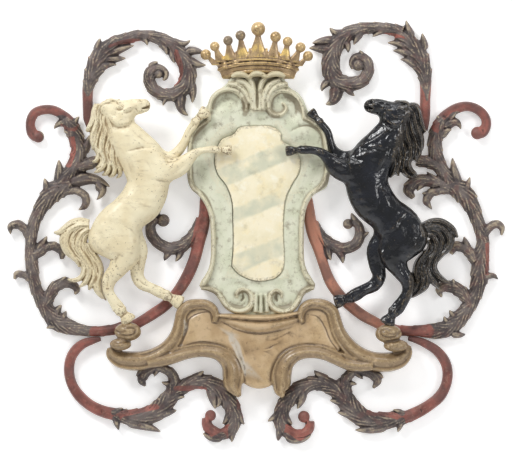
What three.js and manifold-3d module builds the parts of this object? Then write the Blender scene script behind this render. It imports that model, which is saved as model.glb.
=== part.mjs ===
// Carved and painted wooden coat of arms, made to be fixed flat on a wall.
// Millimetres, +X to the viewer's right, +Z up, -Y towards the viewer, wall at y = 0.

import * as THREE from 'three';
import Module from 'manifold-3d';
import { mergeVertices } from 'three/addons/utils/BufferGeometryUtils.js';

const wasm = await Module();
wasm.setup();

// Depths, as distances in front of the wall
const CLEARANCE = 0.3;
const BOARD = 24;
const LEAF_CREST = 25.8;
const LEAF_TIP_BACK = 9;
const HORSE_BACK = 26.1;
const CARTOUCHE_SLAB = 40;
const CARTOUCHE_RIM = 54;
const RIM_BACK = 30;
const FLUTE_FRONT = 62;
const SHIELD_BACK = 30;
const SHIELD_FRONT = 46;
const BASE_PANEL = 50;
const BASE_MOULDING = 64;
const BASE_HOLLOW = 8;
const BASE_CORNICE = 74;
const CROWN_BACK = 28;
const CROWN_BULGE = 70;
const LIP_BACK = 54;
const LIP_FRONT = 78;
const BAND = 20;
const STEM_HOLLOW = 6;
const BALL_MIDDLE = 13;
const BALL_DEPTH = 12.8;
const LEAF_TIP_FRONT = 5;
const BEYOND = 3000;

// Fineness of the rounded forms
const LINE_TOLERANCE = 3;
const LOBE_STEPS = [[0, 1], [0.5, 0.9]];
const BODY_SIDES = 7;
const LEG_SIDES = 5;
const LIMB_DOME = 0.45;
const CROWN_STEPS = 8;
const POINT_SIDES = 4;

// A stroke is a list of stations [x, z, half width] along its middle line.
// A lobe is [root x, root z, bend x, bend z, tip x, tip z, half width at the root].
// A limb is a list of stations [x, z, depth of its middle, half width, half depth].

const UPPER_LEFT = {
  band: [
    [-425, 180, 1], [-422, 197, 11], [-422, 225, 13], [-423, 255, 13], [-422, 280, 14],
    [-415, 305, 16], [-404, 330, 21], [-391, 357, 24], [-377, 380, 19], [-360, 392, 14],
  ],
  stems: [[
    [-377, 382, 13], [-355, 396, 14], [-330, 402, 14], [-305, 409, 14], [-280, 411, 13],
    [-255, 407, 15], [-232, 399, 16], [-210, 385, 17], [-190, 362, 20], [-176, 337, 21],
    [-172, 310, 21], [-180, 285, 21], [-197, 269, 18], [-220, 262, 16], [-242, 266, 15],
    [-261, 280, 15], [-269, 300, 15], [-266, 320, 14], [-252, 330, 11], [-236, 327, 8],
    [-227, 317, 7], [-229, 305, 6], [-235, 299, 3],
  ]],
  lobes: [
    [-382, 360, -342, 378, -306, 386, 11], [-385, 350, -352, 352, -327, 354, 10],
    [-397, 325, -375, 343, -350, 337, 9], [-400, 370, -397, 390, -391, 404, 9],
    [-285, 405, -275, 400, -274, 385, 9], [-242, 395, -227, 385, -225, 362, 12],
    [-212, 380, -215, 360, -206, 342, 9], [-217, 400, -182, 380, -166, 400, 9],
    [-177, 370, -152, 377, -130, 365, 10], [-172, 350, -152, 335, -127, 337, 11],
    [-167, 295, -157, 267, -162, 242, 11], [-187, 270, -202, 225, -171, 211, 13],
  ],
  balls: [[-246, 314, 11]],
};

const UPPER_RIGHT = {
  band: [
    [425, 172, 1], [421, 195, 10], [420, 220, 13], [420, 250, 13], [421, 280, 14],
    [420, 307, 16], [415, 332, 19], [405, 357, 23], [391, 380, 23], [372, 400, 17],
    [352, 414, 13],
  ],
  stems: [[
    [362, 417, 17], [340, 425, 15], [315, 429, 14], [290, 430, 14], [265, 428, 15],
    [242, 422, 17], [220, 410, 19], [201, 392, 21], [189, 370, 22], [184, 344, 23],
    [187, 317, 23], [202, 296, 21], [225, 290, 19], [250, 292, 17], [269, 304, 15],
    [278, 324, 14], [274, 345, 14], [259, 357, 12], [242, 354, 9], [236, 341, 7],
    [239, 327, 4],
  ]],
  lobes: [
    [387, 375, 357, 395, 325, 392, 11], [387, 360, 362, 375, 339, 372, 10],
    [395, 335, 382, 350, 357, 351, 9], [417, 375, 417, 395, 412, 417, 10],
    [387, 405, 377, 425, 372, 449, 10], [257, 420, 250, 405, 241, 387, 11],
    [220, 395, 230, 385, 227, 367, 9],
    [220, 415, 195, 410, 181, 431, 11], [192, 395, 167, 400, 137, 391, 12],
    [182, 375, 157, 380, 129, 379, 12], [177, 295, 162, 285, 162, 271, 10],
    [197, 285, 202, 245, 171, 239, 16], [225, 280, 232, 267, 244, 260, 9],
  ],
  balls: [[252, 337, 15]],
};

const SIDE_LEFT = {
  band: [
    [-550, 156, 13], [-560, 166, 14], [-566, 184, 12], [-564, 202, 12], [-555, 217, 12],
    [-540, 224, 12], [-522, 226, 12], [-505, 223, 12], [-490, 215, 12], [-477, 204, 14],
    [-467, 189, 18], [-457, 170, 20], [-449, 147, 19], [-444, 125, 20], [-449, 102, 20],
    [-460, 80, 18], [-476, 57, 17], [-490, 40, 14],
  ],
  stems: [
    [
      [-467, 44, 17], [-487, 32, 23], [-507, 20, 24], [-526, 0, 21], [-542, -25, 17],
      [-555, -54, 15], [-562, -82, 15], [-565, -112, 14], [-564, -142, 16], [-561, -170, 16],
      [-558, -197, 15], [-549, -227, 15], [-535, -256, 17], [-519, -281, 20], [-499, -304, 22],
      [-472, -316, 20], [-442, -324, 15], [-412, -328, 13], [-382, -327, 13], [-352, -322, 13],
      [-334, -317, 13],
    ],
    [[-457, 85, 13], [-437, 86, 15], [-417, 92, 15], [-397, 97, 13]],
    [[-482, 22, 12], [-457, 24, 10], [-437, 17, 10], [-426, 0, 10], [-432, -16, 8], [-446, -25, 1]],
    [[-568, -92, 12], [-582, -70, 11], [-600, -61, 11], [-614, -66, 9], [-616, -86, 1]],
    [[-562, -200, 10], [-582, -187, 9], [-600, -186, 8], [-606, -198, 3]],
    [[-556, -137, 13], [-542, -130, 12], [-522, -116, 11], [-502, -117, 11], [-488, -128, 10],
      [-487, -148, 5]],
    [[-530, -265, 15], [-517, -237, 15], [-502, -216, 14], [-480, -207, 13], [-460, -211, 11],
      [-450, -225, 8], [-455, -236, 3]],
  ],
  lobes: [
    [-465, 190, -492, 202, -507, 177, 11],
    [-437, 120, -422, 135, -419, 162, 12],
    [-487, 55, -490, 80, -494, 99, 16], [-517, 20, -525, 40, -530, 54, 15],
    [-477, 40, -412, 70, -367, 32, 16], [-402, 40, -372, 25, -401, 0, 12],
    [-457, 45, -442, 65, -422, 62, 9], [-547, -125, -535, -110, -524, -90, 11],
    [-497, -215, -487, -200, -477, -191, 9], [-505, -295, -500, -272, -487, -262, 12],
    [-487, -305, -482, -287, -476, -277, 10], [-492, -317, -512, -310, -526, -321, 10],
  ],
  balls: [[-546, 158, 15]],
};

const SIDE_RIGHT = {
  band: [
    [552, 167, 14], [560, 169, 15], [571, 182, 13], [572, 200, 12], [564, 215, 12],
    [547, 228, 12], [525, 234, 12], [500, 229, 13], [480, 218, 13], [465, 205, 14],
    [455, 187, 17], [447, 165, 18], [444, 140, 18], [446, 117, 18], [452, 95, 18],
    [464, 72, 17], [477, 50, 17], [487, 32, 14],
  ],
  stems: [
    [
      [457, 34, 12], [477, 35, 19], [500, 29, 24], [520, 11, 24], [536, -15, 20],
      [548, -45, 17], [557, -72, 16], [564, -102, 16], [561, -132, 19], [557, -165, 22],
      [554, -200, 21], [547, -230, 17], [536, -255, 17], [517, -282, 19], [497, -305, 21],
      [472, -322, 21], [445, -327, 20], [412, -327, 15], [382, -327, 13], [357, -326, 13],
      [338, -323, 13],
    ],
    [[460, 80, 14], [437, 91, 15], [420, 96, 15], [397, 99, 14]],
    [[472, 40, 12], [442, 46, 15], [412, 49, 15], [387, 39, 15], [379, 22, 13], [391, 5, 6]],
    [[477, 25, 10], [450, 22, 10], [430, 14, 11], [424, -2, 10], [437, -24, 1]],
    [[568, -84, 11], [585, -65, 10], [600, -60, 10], [611, -70, 8], [611, -89, 2]],
    [[565, -194, 10], [580, -189, 8], [592, -190, 6], [602, -198, 1]],
    [[545, -152, 13], [532, -132, 14], [515, -119, 12], [495, -116, 12], [484, -135, 5]],
    [[537, -265, 13], [525, -247, 15], [507, -227, 16], [487, -217, 15], [467, -216, 14],
      [456, -227, 10], [461, -243, 2]],
  ],
  lobes: [
    [465, 182, 502, 210, 509, 176, 12],
    [457, 157, 475, 180, 486, 174, 10],
    [500, 55, 487, 85, 491, 104, 13],
    [522, 35, 527, 45, 531, 57, 9], [392, 45, 377, 42, 365, 37, 9],
    [527, -125, 520, -107, 517, -91, 10], [497, -225, 490, -210, 490, -196, 10],
    [502, -300, 487, -287, 480, -275, 11],
    [487, -332, 505, -340, 521, -335, 9],
  ],
  balls: [[550, 167, 16]],
};

const LOWER_LEFT = {
  band: [
    [-405, -352, 8], [-437, -361, 12], [-454, -376, 13], [-465, -395, 13], [-469, -415, 13],
    [-468, -440, 13], [-459, -467, 13], [-441, -492, 14], [-416, -513, 14], [-385, -528, 15],
    [-352, -536, 16], [-322, -542, 19],
  ],
  stems: [
    [
      [-352, -536, 15], [-322, -542, 19], [-290, -542, 22], [-262, -534, 23], [-240, -519, 24],
      [-221, -497, 22], [-205, -480, 19], [-185, -467, 18], [-162, -456, 18], [-135, -454, 18],
      [-110, -461, 20], [-89, -477, 22], [-71, -500, 21], [-59, -527, 20], [-59, -555, 19],
      [-69, -576, 17], [-90, -585, 14], [-111, -577, 14], [-125, -561, 13], [-126, -544, 11],
    ],
    [[-217, -495, 16], [-211, -470, 15], [-207, -447, 14], [-219, -429, 12], [-240, -419, 11],
      [-262, -420, 12], [-281, -434, 13], [-287, -451, 11], [-279, -465, 3]],
  ],
  lobes: [
    [-352, -547, -350, -560, -345, -575, 10],
    [-327, -552, -277, -562, -240, -579, 13], [-247, -535, -222, -530, -200, -525, 11],
    [-212, -495, -197, -490, -180, -492, 9], [-232, -512, -242, -505, -246, -494, 9],
    [-162, -450, -145, -440, -133, -426, 11],
    [-112, -467, -110, -495, -104, -522, 14], [-97, -480, -87, -500, -100, -517, 12],
    [-62, -570, -62, -587, -63, -605, 11], [-87, -590, -115, -600, -135, -582, 11],
  ],
  balls: [[-116, -538, 14]],
};

const LOWER_RIGHT = {
  band: [
    [377, -347, 4], [400, -352, 8], [425, -362, 11], [447, -375, 12], [464, -394, 13],
    [474, -416, 13], [476, -440, 13], [470, -467, 13], [456, -491, 14], [434, -510, 14],
    [407, -527, 15], [379, -540, 16], [347, -547, 19],
  ],
  stems: [
    [
      [379, -540, 15], [347, -547, 19], [315, -551, 21], [282, -550, 22], [257, -539, 24],
      [236, -520, 25], [219, -497, 24], [201, -477, 21], [180, -464, 20], [154, -457, 18],
      [127, -461, 18], [102, -475, 20], [82, -494, 20], [67, -514, 19], [60, -537, 19],
      [62, -560, 19], [75, -577, 17], [95, -586, 14], [116, -584, 13], [131, -570, 12],
      [132, -552, 11],
    ],
    [[225, -500, 15], [222, -475, 15], [221, -452, 14], [232, -434, 12], [252, -426, 11],
      [272, -429, 12], [292, -437, 13], [300, -452, 11], [290, -470, 3]],
  ],
  lobes: [
    [360, -552, 357, -565, 351, -580, 10],
    [327, -562, 282, -577, 244, -574, 12], [247, -537, 225, -535, 200, -530, 11],
    [220, -507, 200, -502, 181, -500, 10], [287, -435, 302, -432, 316, -445, 10],
    [177, -452, 157, -442, 142, -425, 11],
    [107, -470, 117, -495, 100, -522, 14],
    [60, -567, 55, -585, 52, -602, 11], [72, -590, 107, -610, 135, -587, 10],
  ],
  balls: [[117, -541, 15]],
};

const INNER_LEFT = {
  band: [
    [-320, -321, 13], [-294, -306, 13], [-260, -285, 14], [-230, -264, 14], [-202, -234, 14],
    [-175, -192, 15], [-157, -150, 15], [-144, -102, 15], [-135, -65, 16], [-131, -32, 14],
    [-129, 0, 14], [-127, 30, 12],
  ],
  stems: [[
    [-144, -45, 8], [-155, -77, 12], [-172, -102, 15], [-197, -119, 16], [-222, -120, 15],
    [-247, -107, 14], [-264, -84, 14], [-264, -59, 12], [-250, -46, 11],
  ]],
  lobes: [
    [-262, -55, -255, -37, -238, -21, 9], [-192, -125, -192, -140, -204, -154, 12],
    [-217, -125, -227, -140, -232, -152, 12],
  ],
  balls: [[-234, -51, 16]],
};

const INNER_RIGHT = {
  band: [
    [325, -322, 13], [297, -306, 13], [267, -290, 14], [239, -269, 14], [201, -231, 14],
    [182, -202, 14], [171, -175, 13], [153, -120, 14], [140, -85, 15], [133, -50, 15],
    [130, -20, 13], [126, 5, 12], [122, 30, 10],
  ],
  stems: [[
    [145, -55, 8], [160, -87, 12], [180, -109, 16], [205, -120, 15], [230, -119, 14],
    [251, -104, 14], [257, -81, 13], [252, -62, 11], [240, -54, 10],
  ]],
  lobes: [
    [177, -115, 177, -135, 185, -151, 11], [202, -122, 215, -140, 214, -159, 10],
    [257, -95, 267, -87, 280, -80, 10], [250, -60, 240, -45, 235, -32, 9],
  ],
  balls: [[227, -60, 13]],
};

const CARTOUCHE_OUTLINE = [
  [0, 314], [-42, 310], [-68, 302], [-74, 292], [-87, 280], [-107, 265], [-122, 237],
  [-145, 220], [-162, 195], [-167, 167], [-172, 135], [-175, 100], [-175, 72], [-172, 50],
  [-163, 32], [-141, 12], [-125, -10], [-116, -37], [-110, -85], [-110, -127], [-113, -170],
  [-122, -197], [-141, -217], [-123, -227], [-103, -234], [-90, -255], [-70, -272],
  [-50, -281], [57, -282], [82, -275], [102, -259], [111, -237], [129, -230], [144, -217],
  [130, -200], [117, -181], [112, -152], [111, -112], [112, -77], [116, -25], [122, -5],
  [135, 10], [155, 20], [172, 30], [180, 55], [183, 80], [184, 110], [177, 145],
  [167, 172], [147, 200], [127, 222], [115, 250], [102, 267], [82, 280], [72, 292],
  [68, 302], [42, 310],
];

// Raised scrolls and rims of the cartouche, as strokes
const CARTOUCHE_RIMS = [
  [[-30, 230, 9], [-31, 250, 11], [-45, 268, 11], [-67, 275, 10], [-92, 267, 10],
    [-109, 247, 9], [-117, 220, 8], [-121, 198, 5]],
  [[-122, 222, 7], [-145, 208, 9], [-158, 190, 8], [-162, 165, 7], [-168, 130, 6],
    [-169, 90, 6], [-165, 55, 6], [-140, 20, 6], [-119, -15, 6], [-107, -60, 6],
    [-104, -110, 6], [-105, -160, 7], [-115, -195, 8], [-132, -216, 4]],
  [[-127, -222, 6], [-98, -240, 7], [-78, -262, 7], [-50, -274, 8], [-24, -265, 8],
    [-19, -245, 8], [-30, -228, 8], [-45, -226, 6]],
  [[120, 198, 5], [113, 222, 8], [103, 255, 9], [82, 273, 10], [57, 272, 10],
    [37, 259, 10], [30, 236, 10], [40, 217, 9], [60, 218, 9], [66, 232, 8], [56, 240, 6]],
  [[122, 215, 7], [145, 195, 8], [162, 165, 8], [173, 130, 7], [178, 90, 6], [172, 45, 6],
    [150, 25, 5], [128, 5, 5], [110, -30, 6], [106, -80, 6], [105, -130, 6], [110, -170, 7],
    [122, -198, 8], [136, -215, 4]],
  [[132, -222, 6], [106, -240, 7], [94, -262, 7], [70, -275, 8], [43, -272, 8],
    [26, -255, 8], [29, -236, 8], [41, -225, 6]],
];
const CARTOUCHE_LOBES = [
  [95, 170, 130, 190, 165, 150, 16], [95, 165, 130, 165, 165, 128, 14],
  [-110, 200, -130, 190, -158, 168, 14],
];
const CARTOUCHE_FLUTES = [
  [[-9, 222, 7], [-9, 262, 8], [-17, 305, 11]],
  [[8, 222, 7], [9, 262, 8], [18, 305, 11]],
  [[-20, 250, 5], [-27, 280, 8], [-46, 302, 12]],
  [[20, 250, 5], [28, 280, 8], [48, 302, 12]],
];
const CARTOUCHE_KEYS = [
  [[-4, -240, 6], [-6, -278, 8]], [[9, -240, 5], [9, -279, 7]], [[20, -242, 4], [22, -278, 6]],
];
const LEAF_LIP = [[-64, 303, 5], [-42, 311, 9], [0, 317, 10], [44, 311, 9], [70, 303, 5]];

const SHIELD_OUTLINE = [
  [-3, 185], [-47, 178], [-57, 165], [-87, 151], [-101, 125], [-105, 92], [-98, 65],
  [-76, 35], [-63, 0], [-60, -50], [-60, -135], [-64, -165], [-42, -187], [-1, -202],
  [37, -197], [55, -180], [67, -157], [66, -87], [67, -32], [72, 5], [89, 42], [105, 70],
  [106, 105], [87, 132], [62, 149], [59, 167], [32, 184],
];

const BASE_PANEL_OUTLINE = [
  [-178, -325], [-174, -288], [-146, -268], [-112, -270], [-90, -285], [0, -288], [90, -286],
  [117, -271], [147, -269], [179, -286], [190, -320], [207, -365], [200, -388], [160, -372],
  [125, -370], [92, -382], [70, -405], [54, -440], [36, -461], [4, -470], [-26, -461],
  [-48, -440], [-64, -405], [-84, -382], [-117, -368], [-155, -366], [-195, -380],
  [-200, -360],
];
const BASE_STROKES = [
  [[-360, -385, 16], [-332, -396, 21], [-302, -400, 25], [-267, -394, 24], [-235, -381, 25],
    [-210, -357, 20], [-192, -325, 14], [-185, -295, 13], [-171, -272, 13], [-145, -260, 13],
    [-120, -265, 12], [-102, -280, 10]],
  [[365, -382, 16], [340, -396, 20], [310, -401, 24], [272, -396, 24], [237, -382, 24],
    [212, -352, 20], [197, -320, 14], [190, -290, 13], [175, -270, 13], [147, -262, 12],
    [125, -269, 12], [107, -282, 10]],
  [[-247, -395, 17], [-192, -385, 18], [-155, -374, 19], [-117, -376, 20], [-85, -394, 22],
    [-68, -422, 24], [-67, -449, 25], [-54, -477, 12], [-47, -489, 3]],
  [[232, -405, 13], [192, -391, 16], [155, -380, 19], [120, -380, 19], [90, -392, 21],
    [70, -415, 24], [66, -447, 25], [57, -475, 15], [60, -490, 4]],
];
const BASE_CORNICES = [
  [[-95, -288, 6], [-50, -292, 9], [0, -296, 11], [50, -292, 9], [100, -288, 6]],
  [[-85, -298, 8], [-40, -308, 15], [2, -311, 20], [45, -308, 16], [95, -300, 9]],
];
// [x, z, half width, half height] of the rolled ends of the base's arms
const BASE_KNOBS = [
  [-320, -328, 32, 24], [-340, -362, 31, 19], [327, -332, 32, 24], [346, -367, 31, 20],
];
const KNOB_MIDDLE = 56;
const KNOB_DEPTH = 28;

// Crown: rings [z at its ends, half width, depth] stacked from the band's foot to its rim
const CROWN_X = 3;
const CROWN_ARCH = 15;
const CROWN_RINGS = [
  [300.5, 89, 58], [319, 98, 63], [321, 103, 69], [326, 103, 69], [328, 99, 65],
  [331, 104, CROWN_BULGE], [336, 104, CROWN_BULGE], [340, 100, 66],
];
// [ball x, ball z, ball radius, point x, point z, half width of the point at the rim]
const CROWN_POINTS = [
  [3, 424, 18, 2, 352, 21], [-41, 408, 12.5, -37, 350, 15], [-72, 396, 12.5, -62, 347, 12],
  [-105, 381, 12, -82, 341, 11], [-127, 361, 13.5, -93, 333, 10], [46, 405, 14, 40, 350, 15],
  [76, 393, 12.5, 68, 346, 12], [108, 379, 13, 88, 340, 11], [127, 357, 13, 98, 331, 10],
];

const WHITE_HORSE = {
  limbs: [
    // neck, barrel and rump
    [[-347, 205, 58, 27, 24], [-340, 172, 58, 41, 28], [-310, 132, 58, 50, 31],
      [-277, 88, 56, 57, 35], [-270, 45, 55, 53, 36], [-285, 0, 55, 55, 37],
      [-320, -35, 55, 49, 36], [-352, -72, 55, 56, 38], [-380, -98, 54, 44, 32]],
    // head
    [[-367, 222, 62, 25, 24], [-340, 217, 63, 27, 24], [-317, 223, 63, 23, 20],
      [-297, 229, 63, 21, 17], [-282, 232, 63, 19, 17], [-276, 232, 63, 14, 13]],
    // near hind leg
    [[-345, -100, 64, 50, 30], [-327, -142, 64, 32, 24], [-350, -179, 62, 18, 17],
      [-370, -201, 60, 14, 15], [-369, -230, 60, 11, 11], [-355, -255, 60, 11, 11],
      [-341, -274, 60, 13, 12], [-331, -287, 61, 14, 13], [-319, -294, 62, 13, 13]],
    // far hind leg
    [[-297, -107, 44, 30, 17], [-294, -140, 43, 24, 16], [-296, -170, 42, 16, 15],
      [-299, -199, 42, 14, 14], [-280, -215, 42, 12, 11], [-254, -227, 42, 12, 11],
      [-227, -239, 42, 13, 11], [-197, -251, 42, 13, 12]],
    // near foreleg
    [[-247, 75, 64, 32, 24], [-215, 75, 66, 27, 22], [-192, 81, 68, 24, 19],
      [-170, 100, 70, 17, 14], [-147, 117, 70, 11, 12], [-122, 125, 68, 8, 10],
      [-100, 125, 64, 10, 10], [-82, 123, 61, 12, 11], [-67, 125, 58, 10, 10]],
    // far foreleg
    [[-247, 100, 44, 22, 15], [-217, 107, 44, 15, 14], [-195, 124, 45, 13, 13],
      [-181, 145, 47, 11, 12], [-175, 167, 50, 10, 10], [-161, 185, 53, 10, 10],
      [-145, 205, 56, 11, 10], [-129, 221, 57, 14, 11]],
  ],
  locks: [
    [[-382, 235, 12], [-395, 210, 15], [-405, 185, 12], [-422, 169, 2]],
    [[-377, 220, 15], [-390, 180, 18], [-400, 145, 16], [-402, 115, 13], [-395, 92, 10], [-382, 78, 2]],
    [[-370, 200, 15], [-375, 155, 18], [-380, 120, 18], [-377, 90, 15], [-392, 70, 8], [-405, 67, 1]],
    [[-360, 170, 15], [-360, 130, 18], [-360, 95, 18], [-362, 70, 15], [-350, 54, 2]],
    [[-415, -62, 12], [-442, -57, 14], [-467, -68, 15], [-475, -95, 15], [-462, -125, 14],
      [-447, -150, 14], [-445, -170, 13], [-460, -190, 9], [-477, -197, 1]],
    [[-412, -70, 12], [-435, -72, 15], [-447, -95, 15], [-440, -125, 15], [-422, -145, 15],
      [-417, -170, 15], [-425, -200, 12], [-440, -220, 3]],
    [[-415, -85, 10], [-427, -98, 13], [-422, -122, 14], [-407, -145, 15], [-395, -172, 16],
      [-397, -205, 13], [-402, -228, 3]],
    [[-405, -140, 12], [-392, -165, 14], [-385, -195, 14], [-382, -225, 10], [-375, -250, 1]],
    [[-442, -57, 10], [-475, -66, 11], [-506, -82, 1]],
  ],
  ear: [-378, 232, -376, 246, -368, 252, 7],
};

const BLACK_HORSE = {
  limbs: [
    [[352, 207, 58, 27, 24], [339, 172, 58, 40, 28], [315, 135, 58, 49, 31],
      [281, 90, 56, 55, 35], [272, 45, 55, 54, 36], [286, 2, 55, 54, 37],
      [320, -35, 55, 48, 36], [355, -70, 55, 54, 38], [383, -95, 54, 44, 32]],
    [[362, 217, 62, 27, 24], [337, 214, 63, 27, 24], [315, 221, 63, 24, 20],
      [297, 228, 63, 22, 17], [281, 231, 63, 19, 17], [274, 230, 63, 14, 13]],
    [[358, -107, 64, 48, 30], [345, -147, 64, 28, 24], [354, -180, 62, 20, 17],
      [371, -207, 60, 15, 15], [371, -232, 60, 11, 11], [359, -259, 60, 12, 11],
      [347, -277, 60, 13, 12], [335, -292, 61, 13, 13], [325, -303, 62, 12, 13]],
    [[302, -107, 44, 30, 17], [296, -142, 43, 23, 16], [300, -172, 42, 16, 15],
      [304, -199, 42, 15, 14], [285, -216, 42, 13, 11], [260, -229, 42, 12, 11],
      [235, -242, 42, 13, 11], [214, -252, 42, 13, 12], [197, -256, 42, 9, 9]],
    [[245, 72, 64, 32, 24], [216, 70, 66, 27, 22], [195, 84, 68, 23, 19],
      [177, 104, 70, 16, 14], [161, 116, 70, 12, 12], [136, 123, 68, 9, 10],
      [112, 125, 64, 10, 10], [95, 123, 61, 13, 11], [78, 124, 58, 10, 10]],
    [[237, 97, 44, 22, 15], [210, 107, 44, 16, 14], [190, 125, 45, 11, 12],
      [183, 147, 47, 8, 11], [177, 169, 50, 9, 10], [162, 186, 53, 10, 10],
      [146, 204, 56, 11, 10], [133, 218, 57, 10, 10]],
  ],
  locks: [
    [[365, 235, 14], [385, 232, 16], [397, 215, 13], [405, 190, 6]],
    [[380, 220, 17], [397, 190, 18], [407, 165, 15], [402, 140, 10], [410, 125, 2]],
    [[372, 195, 20], [387, 155, 20], [392, 120, 18], [390, 90, 15], [400, 62, 6]],
    [[360, 165, 20], [370, 125, 20], [370, 90, 20], [380, 62, 10], [392, 58, 3]],
    [[347, 130, 18], [352, 95, 18], [345, 67, 13], [330, 55, 3]],
    [[398, -75, 12], [420, -64, 12], [442, -60, 14], [470, -70, 14], [487, -95, 10], [492, -98, 4]],
    [[395, -88, 12], [420, -75, 12], [447, -75, 14], [470, -100, 15], [465, -130, 15], [445, -155, 15],
      [447, -185, 14], [467, -202, 8], [477, -203, 2]],
    [[400, -92, 12], [425, -90, 12], [447, -107, 15], [445, -135, 15], [427, -157, 15], [427, -187, 15],
      [442, -212, 12], [452, -222, 3]],
    [[430, -107, 11], [427, -130, 14], [410, -155, 14], [405, -187, 15], [410, -220, 10], [410, -235, 2]],
  ],
  ear: [370, 235, 372, 247, 365, 252, 7],
};
const LOCK_BACK = 30;
const LOCK_FRONT = 82;
const EAR_BACK = 58;
const EAR_FRONT = 76;

const COLOUR = {
  pale_green: 0xc9cfba, cream: 0xe6dfc0, gilt: 0x9c7442, ochre: 0xa98c60,
  white_paint: 0xe2d8b8, black_paint: 0x17191c, leaf_brown: 0x6a5d58,
};

// One closed body through a row of rings, each with the same number of points.
// A ring of one point closes its end in a tip. Other ends are flat, or domed by a bulge.
function bodyFromRings(rings, bulge = 0) {
  const points = rings.flat();
  const triangles = [];
  let offset = 0;
  for (let i = 0; i < rings.length - 1; i += 1) {
    const here = rings[i].length;
    const there = rings[i + 1].length;
    const sides = Math.max(here, there);
    for (let side = 0; side < sides; side += 1) {
      const next = (side + 1) % sides;
      const a = offset + side;
      const b = offset + next;
      if (there === 1) {
        triangles.push([a, b, offset + here]);
      } else {
        triangles.push([a, b, offset + here + next], [a, offset + here + next, offset + here + side]);
      }
    }
    offset += here;
  }
  const last = rings.length - 1;
  closeEnd(points, triangles, rings[0], rings[1], 0, true, bulge);
  if (rings[last].length > 1) {
    closeEnd(points, triangles, rings[last], rings[last - 1], offset, false, bulge);
  }
  const geometry = new THREE.BufferGeometry();
  const coordinates = points.flatMap((point) => point.toArray());
  geometry.setAttribute('position', new THREE.Float32BufferAttribute(coordinates, 3));
  geometry.setIndex(triangles.flat());
  return solidFrom(geometry);
}

function closeEnd(points, triangles, ring, inner, offset, atStart, bulge) {
  const turned = (a, b, c) => triangles.push(atStart ? [b, a, c] : [a, b, c]);
  if (bulge === 0) {
    for (let side = 1; side < ring.length - 1; side += 1) turned(offset + side, offset + side + 1, offset);
    return;
  }
  const middle = centroid(ring);
  const radius = ring.reduce((sum, point) => sum + point.distanceTo(middle), 0) / ring.length;
  const push = middle.clone().sub(centroid(inner)).normalize();
  const hub = points.length;
  points.push(middle.addScaledVector(push, bulge * radius));
  for (let side = 0; side < ring.length; side += 1) {
    turned(offset + side, offset + (side + 1) % ring.length, hub);
  }
}

function centroid(ring) {
  const sum = new THREE.Vector3();
  for (const point of ring) sum.add(point);
  return sum.divideScalar(ring.length);
}

// A closed geometry as a solid, with its faces turned outwards.
function solidFrom(geometry) {
  const bare = geometry.clone();
  bare.deleteAttribute('normal');
  bare.deleteAttribute('uv');
  const merged = mergeVertices(bare, 1e-4);
  const points = new Float32Array(merged.attributes.position.array);
  const corners = new Uint32Array(merged.index.array);
  const solid = new wasm.Manifold(new wasm.Mesh({ numProp: 3, vertProperties: points, triVerts: corners }));
  if (solid.volume() > 0) return solid;
  corners.reverse();
  return new wasm.Manifold(new wasm.Mesh({ numProp: 3, vertProperties: points, triVerts: corners }));
}

function unite(solids) {
  return solids.reduce((whole, solid) => whole.add(solid));
}

// A solid after its neighbours are cut out of it, without loose chips.
function without(solid, cutters) {
  return mainBody(cutters.reduce((body, cutter) => body.subtract(cutter), solid));
}

function mainBody(solid) {
  return solid.decompose().reduce((largest, body) => (body.volume() > largest.volume() ? body : largest));
}

// A ring across a stroke: section points are [share of the half width, depth].
function strokeRing(stations, i, section) {
  const [x, z, half] = stations[i];
  const [beforeX, beforeZ] = stations[Math.max(i - 1, 0)];
  const [afterX, afterZ] = stations[Math.min(i + 1, stations.length - 1)];
  const along = new THREE.Vector2(afterX - beforeX, afterZ - beforeZ).normalize();
  return section.map(([share, depth]) => new THREE.Vector3(
    x - along.y * half * share, -depth, z + along.x * half * share));
}

// Leaves out stations that lie close to the straight line between their neighbours.
function thinned(stations) {
  const kept = [stations[0]];
  for (let i = 1; i < stations.length - 1; i += 1) {
    const [before, here, after] = [kept[kept.length - 1], stations[i], stations[i + 1]].map(
      ([x, z, third = 0, half = third]) => new THREE.Vector3(x, z, half));
    const nearest = new THREE.Line3(before, after).closestPointToPoint(here, true, new THREE.Vector3());
    if (here.distanceTo(nearest) > LINE_TOLERANCE) kept.push(stations[i]);
  }
  kept.push(stations[stations.length - 1]);
  return kept;
}

// Stations of a stroke that is wider on both sides, and longer at both ends, by a small margin.
function widened(stroke, grow) {
  const stations = stroke.map(([x, z, half]) => [x, z, half + grow]);
  const last = stations.length - 1;
  stretch(stations[0], stations[1], grow);
  stretch(stations[last], stations[last - 1], grow);
  return stations;
}

function stretch(end, inner, grow) {
  const away = new THREE.Vector2(end[0] - inner[0], end[1] - inner[1]).setLength(grow);
  end[0] += away.x;
  end[1] += away.y;
}

// Flat lacquered band with eased edges.
function band(stroke, grow) {
  const stations = widened(thinned(stroke), grow);
  const section = [[-1, -grow], [-0.8, BAND + grow], [0.8, BAND + grow], [1, -grow]];
  return bodyFromRings(stations.map((_, i) => strokeRing(stations, i, section)));
}

// Leafy stem or moulding with two ridges and a hollow between them.
function stem(stroke, grow, front = BOARD, hollow = STEM_HOLLOW) {
  const stations = widened(thinned(stroke), grow);
  const section = [[0, front - hollow + grow], [0.55, front + grow], [1, -grow], [-1, -grow],
    [-0.55, front + grow]];
  return bodyFromRings(stations.map((_, i) => strokeRing(stations, i, section)));
}

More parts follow.
